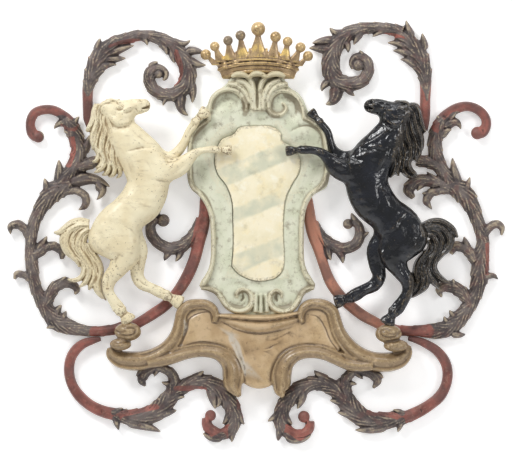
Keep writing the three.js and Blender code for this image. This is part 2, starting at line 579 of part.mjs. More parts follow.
// Raised roll, such as a lock of hair, a rim or a lip. It is lower where it is narrower.
function roll(stroke, back, front, grow = 0) {
  const stations = widened(thinned(stroke), grow);
  const widest = Math.max(...stations.map(([, , half]) => half));
  return bodyFromRings(stations.map(([, , half], i) => {
    const crest = back + (front - back) * Math.sqrt(half / widest) + grow;
    const section = [[-1, back - grow], [-0.5, crest], [0.5, crest], [1, back - grow]];
    return strokeRing(stations, i, section);
  }));
}

// Pointed leaf lobe with a ridge. It lifts off what lies behind it towards its tip.
function lobe([rootX, rootZ, bendX, bendZ, tipX, tipZ, half], grow, front = LEAF_CREST, back = 0) {
  const line = new THREE.QuadraticBezierCurve(
    new THREE.Vector2(rootX, rootZ), new THREE.Vector2(bendX, bendZ), new THREE.Vector2(tipX, tipZ));
  const stations = LOBE_STEPS.map(([t, share]) => {
    const point = line.getPoint(t);
    return [point.x, point.y, half * share + grow];
  });
  const rings = stations.map((_, i) => {
    const foot = back + LEAF_TIP_BACK * LOBE_STEPS[i][0] ** 2 - grow;
    return strokeRing(stations, i, [[-1, foot], [0, front + grow], [1, foot]]);
  });
  const tipStation = [tipX, tipZ];
  stretch(tipStation, [bendX, bendZ], grow);
  const tip = new THREE.Vector3(tipStation[0], LEAF_TIP_FRONT - front, tipStation[1]);
  return bodyFromRings([...rings, [tip]]);
}

// Round or egg-shaped body.
function egg(x, depth, z, radiusX, radiusY, radiusZ, around = 8, up = 4) {
  const geometry = new THREE.SphereGeometry(1, around, up);
  geometry.rotateX(Math.PI / 2);
  geometry.scale(radiusX, radiusY, radiusZ);
  geometry.translate(x, -depth, z);
  return solidFrom(geometry);
}

// Round-sectioned limb.
function limb(allStations, sides, grow) {
  const stations = thinned(allStations);
  const line = widened(stations.map(([x, z, , half]) => [x, z, half]), grow);
  return bodyFromRings(stations.map(([, , depth, , deep], i) => {
    const section = Array.from({ length: sides }, (_, side) => {
      const turn = (side + 0.5) * 2 * Math.PI / sides;
      return [Math.cos(turn), depth + Math.sin(turn) * (deep + grow)];
    });
    return strokeRing(line, i, section);
  }), LIMB_DOME);
}

// Plate of a given outline between two depths.
function plate(outline, back, front) {
  const shape = new THREE.Shape(outline.map(([x, z]) => new THREE.Vector2(x, z)));
  const geometry = new THREE.ExtrudeGeometry(shape, { depth: front - back, bevelEnabled: false });
  geometry.rotateX(Math.PI / 2);
  geometry.translate(0, -back, 0);
  return solidFrom(geometry);
}

// Everything behind one depth, to cut flat backs.
function slabBehind(depth) {
  const geometry = new THREE.BoxGeometry(BEYOND, BEYOND, BEYOND);
  geometry.translate(0, BEYOND / 2 - depth, 0);
  return solidFrom(geometry);
}

function scroll(shape, grow = 0) {
  return unite([
    band(shape.band, grow),
    ...shape.stems.map((stroke) => stem(stroke, grow)),
    ...shape.lobes.map((leaf) => lobe(leaf, grow)),
    ...shape.balls.map(([x, z, radius]) => {
      const round = radius + grow;
      return egg(x, BALL_MIDDLE, z, round, BALL_DEPTH + grow, round);
    }),
  ]);
}

// The first two limbs are the body and the head.
function horse(shape, grow = 0) {
  const whole = unite([
    ...shape.limbs.map((stations, i) => limb(stations, i < 2 ? BODY_SIDES : LEG_SIDES, grow)),
    ...shape.locks.map((lock) => roll(lock, LOCK_BACK, LOCK_FRONT, grow)),
    lobe(shape.ear, grow, EAR_FRONT, EAR_BACK),
  ]);
  return without(whole, [slabBehind(HORSE_BACK - grow)]);
}

// Half-oval ring of the crown, arched upwards in the middle, with a flat back.
function crownRing([z, halfWidth, depth]) {
  return Array.from({ length: CROWN_STEPS + 1 }, (_, i) => {
    const turn = -Math.PI / 2 + Math.PI * i / CROWN_STEPS;
    const x = halfWidth * Math.sin(turn);
    const rise = CROWN_ARCH * (1 - (x / halfWidth) ** 2);
    const forward = CROWN_BACK + (depth - CROWN_BACK) * Math.cos(turn);
    return new THREE.Vector3(CROWN_X + x, -forward, z + rise);
  });
}

function crownPoint([ballX, ballZ, radius, footX, footZ, half]) {
  const [, halfWidth, depth] = CROWN_RINGS[CROWN_RINGS.length - 1];
  const away = Math.min(Math.abs(footX - CROWN_X) / halfWidth, 1);
  const forward = CROWN_BACK + (depth - CROWN_BACK) * Math.sqrt(1 - away ** 2);
  const footDepth = Math.max(forward - 8, CROWN_BACK + 8);
  const ballDepth = footDepth + 6;
  const steps = [[0, half, 7], [0.45, half * 0.5, 5.5], [1, 4.5, 4.5]];
  const stalk = bodyFromRings(steps.map(([t, wide, deep]) => {
    const x = THREE.MathUtils.lerp(footX, ballX, t);
    const z = THREE.MathUtils.lerp(footZ - 8, ballZ, t);
    const middle = THREE.MathUtils.lerp(footDepth, ballDepth, t);
    return Array.from({ length: POINT_SIDES }, (_, i) => {
      const turn = 2 * Math.PI * i / POINT_SIDES;
      return new THREE.Vector3(x + wide * Math.cos(turn), -middle + deep * Math.sin(turn), z);
    });
  }));
  return stalk.add(egg(ballX, ballDepth, ballZ, radius, radius, radius, 6));
}

function crown() {
  return unite([bodyFromRings(CROWN_RINGS.map(crownRing)), ...CROWN_POINTS.map(crownPoint)]);
}

function cartouche(grow = 0) {
  return unite([
    plate(grownOutline(thinned(CARTOUCHE_OUTLINE), grow), -grow, CARTOUCHE_SLAB + grow),
    ...CARTOUCHE_RIMS.map((stroke) => roll(stroke, RIM_BACK, CARTOUCHE_RIM, grow)),
    ...CARTOUCHE_FLUTES.map((stroke) => roll(stroke, RIM_BACK, FLUTE_FRONT, grow)),
    ...CARTOUCHE_KEYS.map((stroke) => roll(stroke, RIM_BACK, CARTOUCHE_RIM, grow)),
    ...CARTOUCHE_LOBES.map((leaf) => lobe(leaf, grow, CARTOUCHE_RIM - 4, RIM_BACK)),
    roll(LEAF_LIP, LIP_BACK, LIP_FRONT, grow),
  ]);
}

function shieldPocket() {
  return plate(grownOutline(SHIELD_OUTLINE, CLEARANCE), SHIELD_BACK - CLEARANCE, LIP_FRONT);
}

// An outline moved outwards by a small distance.
function grownOutline(outline, grow) {
  const turn = Math.sign(THREE.ShapeUtils.area(outline.map(([x, z]) => new THREE.Vector2(x, z))));
  return outline.map(([x, z], i) => {
    const [beforeX, beforeZ] = outline[(i + outline.length - 1) % outline.length];
    const [afterX, afterZ] = outline[(i + 1) % outline.length];
    const along = new THREE.Vector2(afterX - beforeX, afterZ - beforeZ).normalize();
    return [x + along.y * grow * turn, z - along.x * grow * turn];
  });
}

function base() {
  return unite([
    plate(BASE_PANEL_OUTLINE, 0, BASE_PANEL),
    ...BASE_STROKES.map((stroke) => stem(stroke, 0, BASE_MOULDING, BASE_HOLLOW)),
    ...BASE_CORNICES.map((stroke, i) => roll(stroke, 20, BASE_CORNICE - 12 * i)),
    ...BASE_KNOBS.map(([x, z, wide, high]) => egg(x, KNOB_MIDDLE, z, wide, KNOB_DEPTH, high)),
  ]);
}

function named(name, solid, colour, roughness, metalness = 0) {
  const mesh = solid.getMesh();
  const geometry = new THREE.BufferGeometry();
  geometry.setAttribute('position', new THREE.BufferAttribute(new Float32Array(mesh.vertProperties), 3));
  geometry.setIndex(new THREE.BufferAttribute(new Uint32Array(mesh.triVerts), 1));
  geometry.computeVertexNormals();
  const material = new THREE.MeshStandardMaterial({ color: colour, roughness, metalness });
  const piece = new THREE.Mesh(geometry, material);
  piece.name = name;
  return piece;
}

const sideLeft = scroll(SIDE_LEFT);
const sideRight = scroll(SIDE_RIGHT);
const sidesGrown = [scroll(SIDE_LEFT, CLEARANCE), scroll(SIDE_RIGHT, CLEARANCE)];
const innerGrown = [scroll(INNER_LEFT, CLEARANCE), scroll(INNER_RIGHT, CLEARANCE)];
const lowerLeft = without(scroll(LOWER_LEFT), [sidesGrown[0]]);
const lowerRight = without(scroll(LOWER_RIGHT), [sidesGrown[1]]);
const lowerGrown = [scroll(LOWER_LEFT, CLEARANCE), scroll(LOWER_RIGHT, CLEARANCE)];
const upperLeft = without(scroll(UPPER_LEFT), [sidesGrown[0]]);
const upperRight = without(scroll(UPPER_RIGHT), [sidesGrown[1]]);
const horsesGrown = [horse(WHITE_HORSE, CLEARANCE), horse(BLACK_HORSE, CLEARANCE)];

const coatOfArms = new THREE.Group();
coatOfArms.add(
  named('cartouche', without(cartouche(), [shieldPocket(), ...innerGrown, ...horsesGrown]),
    COLOUR.pale_green, 0.6),
  named('shield', plate(SHIELD_OUTLINE, SHIELD_BACK, SHIELD_FRONT), COLOUR.cream, 0.5),
  named('crown', without(crown(), [cartouche(CLEARANCE)]), COLOUR.gilt, 0.45, 0.4),
  named('base', without(base(), [...sidesGrown, ...innerGrown, ...lowerGrown, ...horsesGrown]),
    COLOUR.ochre, 0.5, 0.2),
  named('white_horse', horse(WHITE_HORSE), COLOUR.white_paint, 0.5),
  named('black_horse', horse(BLACK_HORSE), COLOUR.black_paint, 0.35),
  named('upper_scroll_left', upperLeft, COLOUR.leaf_brown, 0.6),
  named('upper_scroll_right', upperRight, COLOUR.leaf_brown, 0.6),
  named('side_scroll_left', sideLeft, COLOUR.leaf_brown, 0.6),
  named('side_scroll_right', sideRight, COLOUR.leaf_brown, 0.6),
  named('lower_scroll_left', lowerLeft, COLOUR.leaf_brown, 0.6),
  named('lower_scroll_right', lowerRight, COLOUR.leaf_brown, 0.6),
  named('inner_scroll_left', scroll(INNER_LEFT), COLOUR.leaf_brown, 0.6),
  named('inner_scroll_right', scroll(INNER_RIGHT), COLOUR.leaf_brown, 0.6),
);

export default coatOfArms;
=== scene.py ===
"""Carved and painted wooden coat of arms on a wall: two horses hold a crowned shield among leafy scrolls."""

import math

import bpy
import numpy as np
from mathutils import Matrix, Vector


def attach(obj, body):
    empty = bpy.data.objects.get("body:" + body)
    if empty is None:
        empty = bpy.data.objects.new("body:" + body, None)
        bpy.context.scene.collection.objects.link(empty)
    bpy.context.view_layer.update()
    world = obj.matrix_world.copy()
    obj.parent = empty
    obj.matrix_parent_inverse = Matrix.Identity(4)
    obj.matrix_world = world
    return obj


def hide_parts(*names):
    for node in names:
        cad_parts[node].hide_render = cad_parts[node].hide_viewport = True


bl_info = {
    "name": "Carved coat of arms",
    "version": (1, 0, 0),
    "blender": (4, 0, 0),
    "location": "View3D > Sidebar > Coat of arms",
    "description": "Carves and paints a wooden coat of arms with horses, a crown and leafy scrolls",
    "category": "Add Mesh",
}

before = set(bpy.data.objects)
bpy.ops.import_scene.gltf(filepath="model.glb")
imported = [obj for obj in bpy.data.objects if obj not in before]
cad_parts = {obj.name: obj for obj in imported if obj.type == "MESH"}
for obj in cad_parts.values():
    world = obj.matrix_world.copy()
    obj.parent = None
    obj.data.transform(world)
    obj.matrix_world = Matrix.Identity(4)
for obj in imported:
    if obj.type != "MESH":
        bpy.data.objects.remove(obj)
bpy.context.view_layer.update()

MM = 0.001

# Strokes are lists of stations [x, z, half width] in millimetres, lobes are
# [root x, root z, bend x, bend z, tip x, tip z, half width], balls are [x, z, radius].

SCROLLS = {
    "upper_scroll_left": {
        "bands": [[
            [-425, 180, 1], [-422, 197, 11], [-422, 225, 13], [-423, 255, 13], [-422, 280, 14],
            [-415, 305, 16], [-404, 330, 20], [-391, 357, 22], [-377, 380, 18], [-360, 392, 14],
        ]],
        "stems": [[
            [-377, 382, 13], [-355, 396, 14], [-330, 402, 14], [-305, 409, 14], [-280, 411, 13],
            [-255, 407, 15], [-232, 399, 16], [-210, 385, 17], [-190, 362, 20], [-176, 337, 21],
            [-172, 310, 21], [-180, 285, 21], [-197, 269, 18], [-220, 262, 16], [-242, 266, 15],
            [-261, 280, 15], [-269, 300, 15], [-266, 320, 14], [-252, 330, 11], [-236, 327, 8],
            [-227, 317, 7], [-229, 305, 6], [-235, 299, 3],
        ]],
        "lobes": [
            [-382, 360, -342, 378, -306, 386, 11], [-385, 350, -352, 352, -327, 354, 10],
            [-397, 325, -375, 343, -350, 337, 9], [-400, 370, -397, 390, -391, 404, 9],
            [-285, 405, -275, 400, -274, 385, 9], [-242, 395, -227, 385, -225, 362, 12],
            [-212, 380, -215, 360, -206, 342, 9], [-217, 400, -182, 380, -166, 400, 9],
            [-177, 370, -152, 377, -130, 365, 10], [-172, 350, -152, 335, -127, 337, 11],
            [-167, 295, -157, 267, -162, 242, 11], [-187, 270, -202, 225, -171, 211, 13],
            [-227, 255, -232, 247, -235, 235, 6], [-267, 330, -260, 342, -247, 345, 8],
        ],
        "covers": [[[-422, 262, 4], [-420, 285, 14], [-413, 310, 19], [-402, 335, 23], [-390, 358, 25],
                    [-374, 378, 21], [-354, 393, 14]]],
        "balls": [[-246, 314, 11]],
        "red": [[[-366, 383, 4], [-330, 394, 5], [-286, 398, 4]],
                [[-202, 370, 5], [-192, 325, 7], [-200, 298, 6], [-230, 283, 5]]],
    },
    "upper_scroll_right": {
        "bands": [[
            [425, 172, 1], [421, 195, 10], [420, 220, 13], [420, 250, 13], [421, 280, 14],
            [420, 307, 16], [415, 332, 19], [405, 357, 23], [391, 380, 23], [372, 400, 17],
            [352, 414, 13],
        ]],
        "stems": [[
            [362, 417, 17], [340, 425, 15], [315, 429, 14], [290, 430, 14], [265, 428, 15],
            [242, 422, 17], [220, 410, 19], [201, 392, 21], [189, 370, 22], [184, 344, 23],
            [187, 317, 23], [202, 296, 21], [225, 290, 19], [250, 292, 17], [269, 304, 15],
            [278, 324, 14], [274, 345, 14], [259, 357, 12], [242, 354, 9], [236, 341, 7],
            [239, 327, 4],
        ]],
        "lobes": [
            [387, 375, 357, 395, 325, 392, 11], [387, 360, 362, 375, 339, 372, 10],
            [395, 335, 382, 350, 357, 351, 9], [417, 375, 417, 395, 412, 417, 10],
            [387, 405, 377, 425, 372, 449, 10], [320, 425, 302, 417, 287, 407, 6],
            [257, 420, 250, 405, 241, 387, 11], [220, 395, 230, 385, 227, 367, 9],
            [220, 415, 195, 410, 181, 431, 11], [192, 395, 167, 400, 137, 391, 12],
            [182, 375, 157, 380, 129, 379, 12], [177, 295, 162, 285, 162, 271, 10],
            [197, 285, 202, 245, 171, 239, 16], [225, 280, 232, 267, 244, 260, 9],
            [267, 357, 262, 367, 255, 374, 8],
        ],
        "covers": [[[424, 250, 3], [423, 268, 6], [421, 290, 13], [418, 315, 18], [411, 338, 22], [401, 360, 26], [386, 382, 25],
                    [368, 402, 20], [350, 414, 14]]],
        "balls": [[252, 337, 15]],
        "red": [[[322, 411, 5], [340, 407, 7], [362, 402, 6]]],
    },
    "side_scroll_left": {
        "bands": [[
            [-550, 156, 13], [-560, 166, 14], [-566, 184, 12], [-564, 202, 12], [-555, 217, 12],
            [-540, 224, 12], [-522, 226, 12], [-505, 223, 12], [-490, 215, 12], [-477, 204, 14],
            [-467, 189, 18],
        ]],
        "stems": [
            [[-477, 204, 12], [-467, 189, 17], [-457, 170, 20], [-449, 147, 19], [-444, 125, 20],
             [-449, 102, 20], [-460, 80, 18], [-476, 57, 17], [-490, 40, 14]],
            [[-467, 44, 17], [-487, 32, 23], [-507, 20, 24], [-526, 0, 21], [-542, -25, 17],
             [-555, -54, 15], [-562, -82, 15], [-565, -112, 14], [-564, -142, 16], [-561, -170, 16],
             [-558, -197, 15], [-549, -227, 15], [-535, -256, 17], [-519, -281, 20], [-499, -304, 22],
             [-472, -316, 20], [-442, -324, 15], [-412, -328, 13], [-382, -327, 13], [-352, -322, 13],
             [-334, -317, 13]],
            [[-457, 85, 13], [-437, 86, 15], [-417, 92, 15], [-397, 97, 13]],
            [[-482, 22, 12], [-457, 24, 10], [-437, 17, 10], [-426, 0, 10], [-432, -16, 8],
             [-446, -25, 1]],
            [[-568, -92, 12], [-582, -70, 11], [-600, -61, 11], [-614, -66, 9], [-616, -86, 1]],
            [[-562, -200, 10], [-582, -187, 9], [-600, -186, 8], [-606, -198, 3]],
            [[-556, -137, 13], [-542, -130, 12], [-522, -116, 11], [-502, -117, 11],
             [-488, -128, 10], [-487, -148, 5]],
            [[-530, -265, 15], [-517, -237, 15], [-502, -216, 14], [-480, -207, 13],
             [-460, -211, 11], [-450, -225, 8], [-455, -236, 3]],
        ],
        "lobes": [
            [-465, 190, -492, 202, -507, 177, 11], [-455, 190, -452, 202, -443, 208, 8],
            [-462, 165, -475, 167, -482, 174, 8], [-437, 120, -422, 135, -419, 162, 12],
            [-492, 30, -492, 70, -495, 101, 14], [-512, -5, -524, 28, -531, 55, 13],
            [-477, 40, -412, 70, -367, 32, 16], [-402, 40, -372, 25, -401, 0, 12],
            [-457, 45, -442, 65, -422, 62, 9], [-547, -125, -535, -110, -524, -90, 11],
            [-497, -215, -487, -200, -477, -191, 9], [-505, -295, -500, -272, -487, -262, 12],
            [-487, -305, -482, -287, -476, -277, 10], [-492, -317, -512, -310, -526, -321, 10],
        ],
        "balls": [[-546, 158, 15]],
        "red": [[[-400, -330, 15], [-334, -318, 15]], [[-466, 176, 6], [-460, 120, 7], [-470, 88, 6]]],
    },
    "side_scroll_right": {
        "bands": [[
            [552, 167, 14], [560, 169, 15], [571, 182, 13], [572, 200, 12], [564, 215, 12],
            [547, 228, 12], [525, 234, 12], [500, 229, 13], [480, 218, 13], [465, 205, 14],
            [455, 187, 17],
        ]],
        "stems": [
            [[465, 205, 12], [455, 187, 16], [447, 165, 18], [444, 140, 18], [446, 117, 18],
             [452, 95, 18], [464, 72, 17], [477, 50, 17], [487, 32, 14]],
            [[457, 34, 12], [477, 35, 19], [500, 29, 24], [520, 11, 24], [536, -15, 20],
             [548, -45, 17], [557, -72, 16], [564, -102, 16], [561, -132, 19], [557, -165, 22],
             [554, -200, 21], [547, -230, 17], [536, -255, 17], [517, -282, 19], [497, -305, 21],
             [472, -322, 21], [445, -327, 20], [412, -327, 15], [382, -327, 13], [357, -326, 13],
             [338, -323, 13]],
            [[460, 80, 14], [437, 91, 15], [420, 96, 15], [397, 99, 14]],
            [[472, 40, 12], [442, 46, 15], [412, 49, 15], [387, 39, 15], [379, 22, 13], [391, 5, 6]],
            [[477, 25, 10], [450, 22, 10], [430, 14, 11], [424, -2, 10], [437, -24, 1]],
            [[568, -84, 11], [585, -65, 10], [600, -60, 10], [611, -70, 8], [611, -89, 2]],
            [[565, -194, 10], [580, -189, 8], [592, -190, 6], [602, -198, 1]],
            [[545, -152, 13], [532, -132, 14], [515, -119, 12], [495, -116, 12], [484, -135, 5]],
            [[537, -265, 13], [525, -247, 15], [507, -227, 16], [487, -217, 15], [467, -216, 14],
             [456, -227, 10], [461, -243, 2]],
        ],
        "lobes": [
            [465, 182, 502, 210, 509, 176, 12], [460, 197, 452, 205, 449, 211, 7],
            [482, 202, 492, 210, 497, 218, 5], [457, 157, 475, 180, 486, 174, 10],
            [467, 40, 447, 55, 422, 71, 5], [506, 28, 490, 72, 488, 106, 12],
            [516, 10, 526, 36, 532, 58, 9], [392, 45, 377, 42, 365, 37, 9],
            [417, 42, 405, 35, 400, 22, 8], [430, 17, 420, 17, 411, 16, 5],
            [527, -125, 520, -107, 517, -91, 10], [497, -225, 490, -210, 490, -196, 10],
            [502, -300, 487, -287, 480, -275, 11], [482, -315, 470, -302, 467, -290, 8],
            [487, -332, 505, -340, 521, -335, 9],
        ],
        "balls": [[550, 167, 16]],
        "red": [[[421, -328, 17], [338, -324, 16]], [[575, -112, 5], [578, -150, 6], [574, -182, 5]]],
    },
    "lower_scroll_left": {
        "bands": [[
            [-390, -347, 5], [-408, -350.5, 9], [-437, -361, 12], [-454, -376, 13], [-465, -395, 13], [-469, -415, 13],
            [-468, -440, 13], [-459, -467, 13], [-441, -492, 14], [-416, -513, 14], [-385, -528, 15],
            [-352, -536, 16],
        ]],
        "stems": [
            [[-385, -528, 13], [-352, -536, 15], [-322, -542, 19], [-290, -542, 22], [-262, -534, 23],
             [-240, -519, 24], [-221, -497, 22], [-205, -480, 19], [-185, -467, 18], [-162, -456, 18],
             [-135, -454, 18], [-110, -461, 20], [-89, -477, 22], [-71, -500, 21], [-59, -527, 20],
             [-59, -555, 19], [-69, -576, 17], [-90, -585, 14], [-111, -577, 14], [-125, -561, 13],
             [-126, -544, 11]],
            [[-217, -495, 16], [-211, -470, 15], [-207, -447, 14], [-219, -429, 12], [-240, -419, 11],
             [-262, -420, 12], [-281, -434, 13], [-287, -451, 11], [-279, -465, 3]],
        ],
        "lobes": [
            [-352, -547, -350, -560, -345, -575, 10], [-357, -530, -347, -525, -335, -519, 7],
            [-327, -552, -277, -562, -240, -579, 13], [-247, -535, -222, -530, -200, -525, 11],
            [-212, -495, -197, -490, -180, -492, 9], [-232, -512, -242, -505, -246, -494, 9],
            [-217, -460, -227, -460, -239, -454, 8], [-247, -420, -252, -430, -257, -441, 8],
            [-282, -425, -292, -427, -302, -440, 8], [-162, -450, -145, -440, -133, -426, 11],
            [-112, -467, -110, -495, -104, -522, 14], [-97, -480, -87, -500, -100, -517, 12],
            [-70, -535, -75, -552, -87, -559, 8], [-47, -530, -42, -550, -31, -561, 8],
            [-62, -570, -62, -587, -63, -605, 11], [-87, -590, -115, -600, -135, -582, 11],
        ],
        "balls": [[-116, -538, 14]],
        "red": [[[-362, -534, 12], [-330, -532, 7], [-250, -515, 6]],
                [[-202, -470, 5], [-160, -470, 6], [-128, -472, 5]],
                [[-45, -500, 5], [-42, -545, 6]],
                [[-69, -576, 14], [-90, -585, 15], [-111, -577, 15], [-125, -561, 15], [-122, -540, 16]]],
    },
    "lower_scroll_right": {
        "bands": [[
            [377, -346, 5], [400, -350.5, 9], [425, -361, 11], [447, -375, 12], [464, -394, 13],
            [474, -416, 13], [476, -440, 13], [470, -467, 13], [456, -491, 14], [434, -510, 14],
            [407, -527, 15], [379, -540, 16],
        ]],
        "stems": [
            [[407, -527, 13], [379, -540, 15], [347, -547, 19], [315, -551, 21], [282, -550, 22],
             [257, -539, 24], [236, -520, 25], [219, -497, 24], [201, -477, 21], [180, -464, 20],
             [154, -457, 18], [127, -461, 18], [102, -475, 20], [82, -494, 20], [67, -514, 19],
             [60, -537, 19], [62, -560, 19], [75, -577, 17], [95, -586, 14], [116, -584, 13],
             [131, -570, 12], [132, -552, 11]],
            [[225, -500, 15], [222, -475, 15], [221, -452, 14], [232, -434, 12], [252, -426, 11],
             [272, -429, 12], [292, -437, 13], [300, -452, 11], [290, -470, 3]],
        ],
        "lobes": [
            [360, -552, 357, -565, 351, -580, 10], [362, -532, 352, -527, 340, -523, 7],
            [327, -562, 282, -577, 244, -574, 12], [247, -537, 225, -535, 200, -530, 11],
            [220, -507, 200, -502, 181, -500, 10], [287, -435, 302, -432, 316, -445, 10],
            [225, -462, 237, -455, 250, -461, 7], [247, -430, 255, -440, 265, -447, 6],
            [215, -470, 200, -460, 205, -444, 8], [177, -452, 157, -442, 142, -425, 11],
            [107, -470, 117, -495, 100, -522, 14], [102, -480, 90, -495, 82, -507, 8],
            [52, -537, 40, -545, 26, -553, 8], [67, -530, 75, -550, 89, -560, 8],
            [60, -567, 55, -585, 52, -602, 11], [72, -590, 107, -610, 135, -587, 10],
        ],
        "balls": [[117, -541, 15]],
        "red": [[[375, -541, 14], [350, -538, 8], [280, -530, 6]],
                [[75, -577, 15], [95, -586, 15], [116, -584, 15], [131, -565, 15], [120, -542, 17]]],
    },
    "inner_scroll_left": {
        "bands": [[
            [-320, -321, 13], [-294, -306, 13], [-260, -285, 14], [-230, -264, 14], [-202, -234, 14],
            [-175, -192, 15], [-157, -150, 15], [-144, -102, 15], [-135, -65, 16], [-131, -32, 14],
            [-129, 0, 14], [-127, 30, 12],
        ]],
        "stems": [[
            [-144, -45, 8], [-155, -77, 12], [-172, -102, 15], [-197, -119, 16], [-222, -120, 15],
            [-247, -107, 14], [-264, -84, 14], [-264, -59, 12], [-250, -46, 11],
        ]],
        "lobes": [
            [-262, -55, -255, -37, -238, -21, 9], [-192, -125, -192, -140, -204, -154, 12],
            [-217, -125, -227, -140, -232, -152, 12],
        ],
        "balls": [[-234, -51, 16]],
        "red": [],
    },
    "inner_scroll_right": {
        "bands": [[
            [325, -322, 13], [297, -306, 13], [267, -290, 14], [239, -269, 14], [201, -231, 14],
            [182, -202, 14], [171, -175, 13], [153, -120, 14], [140, -85, 15], [133, -50, 15],
            [130, -20, 13], [126, 5, 12], [122, 30, 10],
        ]],
        "stems": [[
            [145, -55, 8], [160, -87, 12], [180, -109, 16], [205, -120, 15], [230, -119, 14],
            [251, -104, 14], [257, -81, 13], [252, -62, 11], [240, -54, 10],
        ]],
        "lobes": [
            [177, -115, 177, -135, 185, -151, 11], [202, -122, 215, -140, 214, -159, 10],
            [257, -95, 267, -87, 280, -80, 10], [250, -60, 240, -45, 235, -32, 9],
        ],
        "balls": [[227, -60, 13]],
        "red": [],
    },
}


# Shapes carved along strokes

def smooth_line(stroke, step):
    """A smooth line through the stations, with one point every step millimetres."""
    points = np.array(stroke, float)
    along = np.concatenate([[0], np.cumsum(np.linalg.norm(np.diff(points[:, :2], axis=0), axis=1))])
    slopes = np.gradient(points, along, axis=0)
    count = max(int(along[-1] / step), 6)
    wanted = np.linspace(0, along[-1], count + 1)
    left = np.clip(np.searchsorted(along, wanted, "right") - 1, 0, len(along) - 2)
    span = (along[left + 1] - along[left])[:, None]
    t = (wanted - along[left])[:, None] / span
    line = ((1 + 2 * t) * (1 - t) ** 2 * points[left] + t * (1 - t) ** 2 * span * slopes[left]
            + t * t * (3 - 2 * t) * points[left + 1] + t * t * (t - 1) * span * slopes[left + 1])
    return line, wanted


def directions(line):
    """Unit vectors along a line and across it, in the plane of the wall."""
    along = np.gradient(line[:, :2], axis=0)
    along /= np.linalg.norm(along, axis=1)[:, None] + 1e-9
    across = np.stack([-along[:, 1], along[:, 0]], axis=1)
    return along, across


def close_rings(rings):
    """Vertices and faces of a closed body through rings of points, shaped (stations, sides, 3)."""
    count, sides, _ = rings.shape
    verts = rings.reshape(-1, 3)
    faces = []
    for i in range(count - 1):
        for j in range(sides):
            k = (j + 1) % sides
            faces.append((i * sides + j, i * sides + k, (i + 1) * sides + k, (i + 1) * sides + j))
    faces.append(tuple(range(sides))[::-1])
    faces.append(tuple(range((count - 1) * sides, count * sides)))
    return verts, faces


def carve_along(line, shares, depths, edges=None):
    """A body along a line, from shares of the half width and depths for each station.

    edges widens or narrows each station at its left and its right.
    """
    _, across = directions(line)
    reach = shares[None, :] * line[:, 2:3]
    if edges is not None:
        reach = np.where(reach < 0, reach * edges[0][:, None], reach * edges[1][:, None])
    rings = np.empty((len(line), len(shares), 3))
    rings[:, :, 0] = line[:, 0:1] + across[:, 0:1] * reach
    rings[:, :, 2] = line[:, 1:2] + across[:, 1:2] * reach
    rings[:, :, 1] = -depths
    return close_rings(rings)


def front_shares(count):
    """Places across a stroke from one edge to the other."""
    front = np.sin(np.linspace(-math.pi / 2, math.pi / 2, count))
    return front


def with_back(shares, depths, back):
    """Adds the two corners of the back to a carved front."""
    shares = np.concatenate([shares, [0.96, -0.96]])
    behind = np.broadcast_to(np.asarray(back, float).reshape(-1, 1), (len(depths), 2))
    return shares, np.concatenate([depths, behind], axis=1)


def band_body(stroke, depth, step=3.0):
    """Flat lacquered band with rounded edges."""
    line, _ = smooth_line(stroke, step)
    u = front_shares(15)
    front = depth * (1 - 0.62 * np.abs(u) ** 7) - 0.9 * np.exp(-(u / 0.5) ** 2)
    depths = np.repeat(front[None, :], len(line), axis=0)
    shares, depths = with_back(u, depths, np.zeros(len(line)))
    return carve_along(line, shares, depths)


def leafy_body(stroke, depth, notch, vein, step=2.0):
    """Leaf-covered stem: a shallow middle line and slanting veins that end in small teeth at its edges."""
    line, s = smooth_line(stroke, step)
    u = front_shares(49)
    full = np.clip(line[:, 2:3] / 15, 0.45, 1.0)
    away = np.abs(u)[None, :]
    side = 0.5 * (u[None, :] > 0)
    turn = (s + 9 * np.sin(s / 33.0)) / 26.0
    crest = depth * (0.68 + 0.32 * full) * (1 + 0.03 * np.sin(s[:, None] / 21.0 + 3 * side))
    body = 1 - 0.46 * away ** 2.4
    hollow = np.exp(-(away / 0.16) ** 2)
    phase = 3.1 * away ** 0.9 - turn[:, None] + side
    veins = (0.5 + 0.5 * np.cos(2 * math.pi * phase)) ** 1.3 * np.clip(away * 4 - 0.3, 0, 1)
    strength = 0.75 + 0.25 * np.sin(s[:, None] / 17.0 + 5 * side + 4 * away)
    depths = crest * body - 2.0 * full * hollow - vein * veins * strength * full
    tip = notch * (0.65 + 0.35 * np.sin(s / 41.0))
    left = 1 + tip * ((turn - 0.1) % 1) ** 2.2
    right = 1 + tip * ((turn - 0.6) % 1) ** 2.2
    shares, depths = with_back(u, depths, np.zeros(len(line)))
    return carve_along(line, shares, np.maximum(depths, 3.0), (left, right))


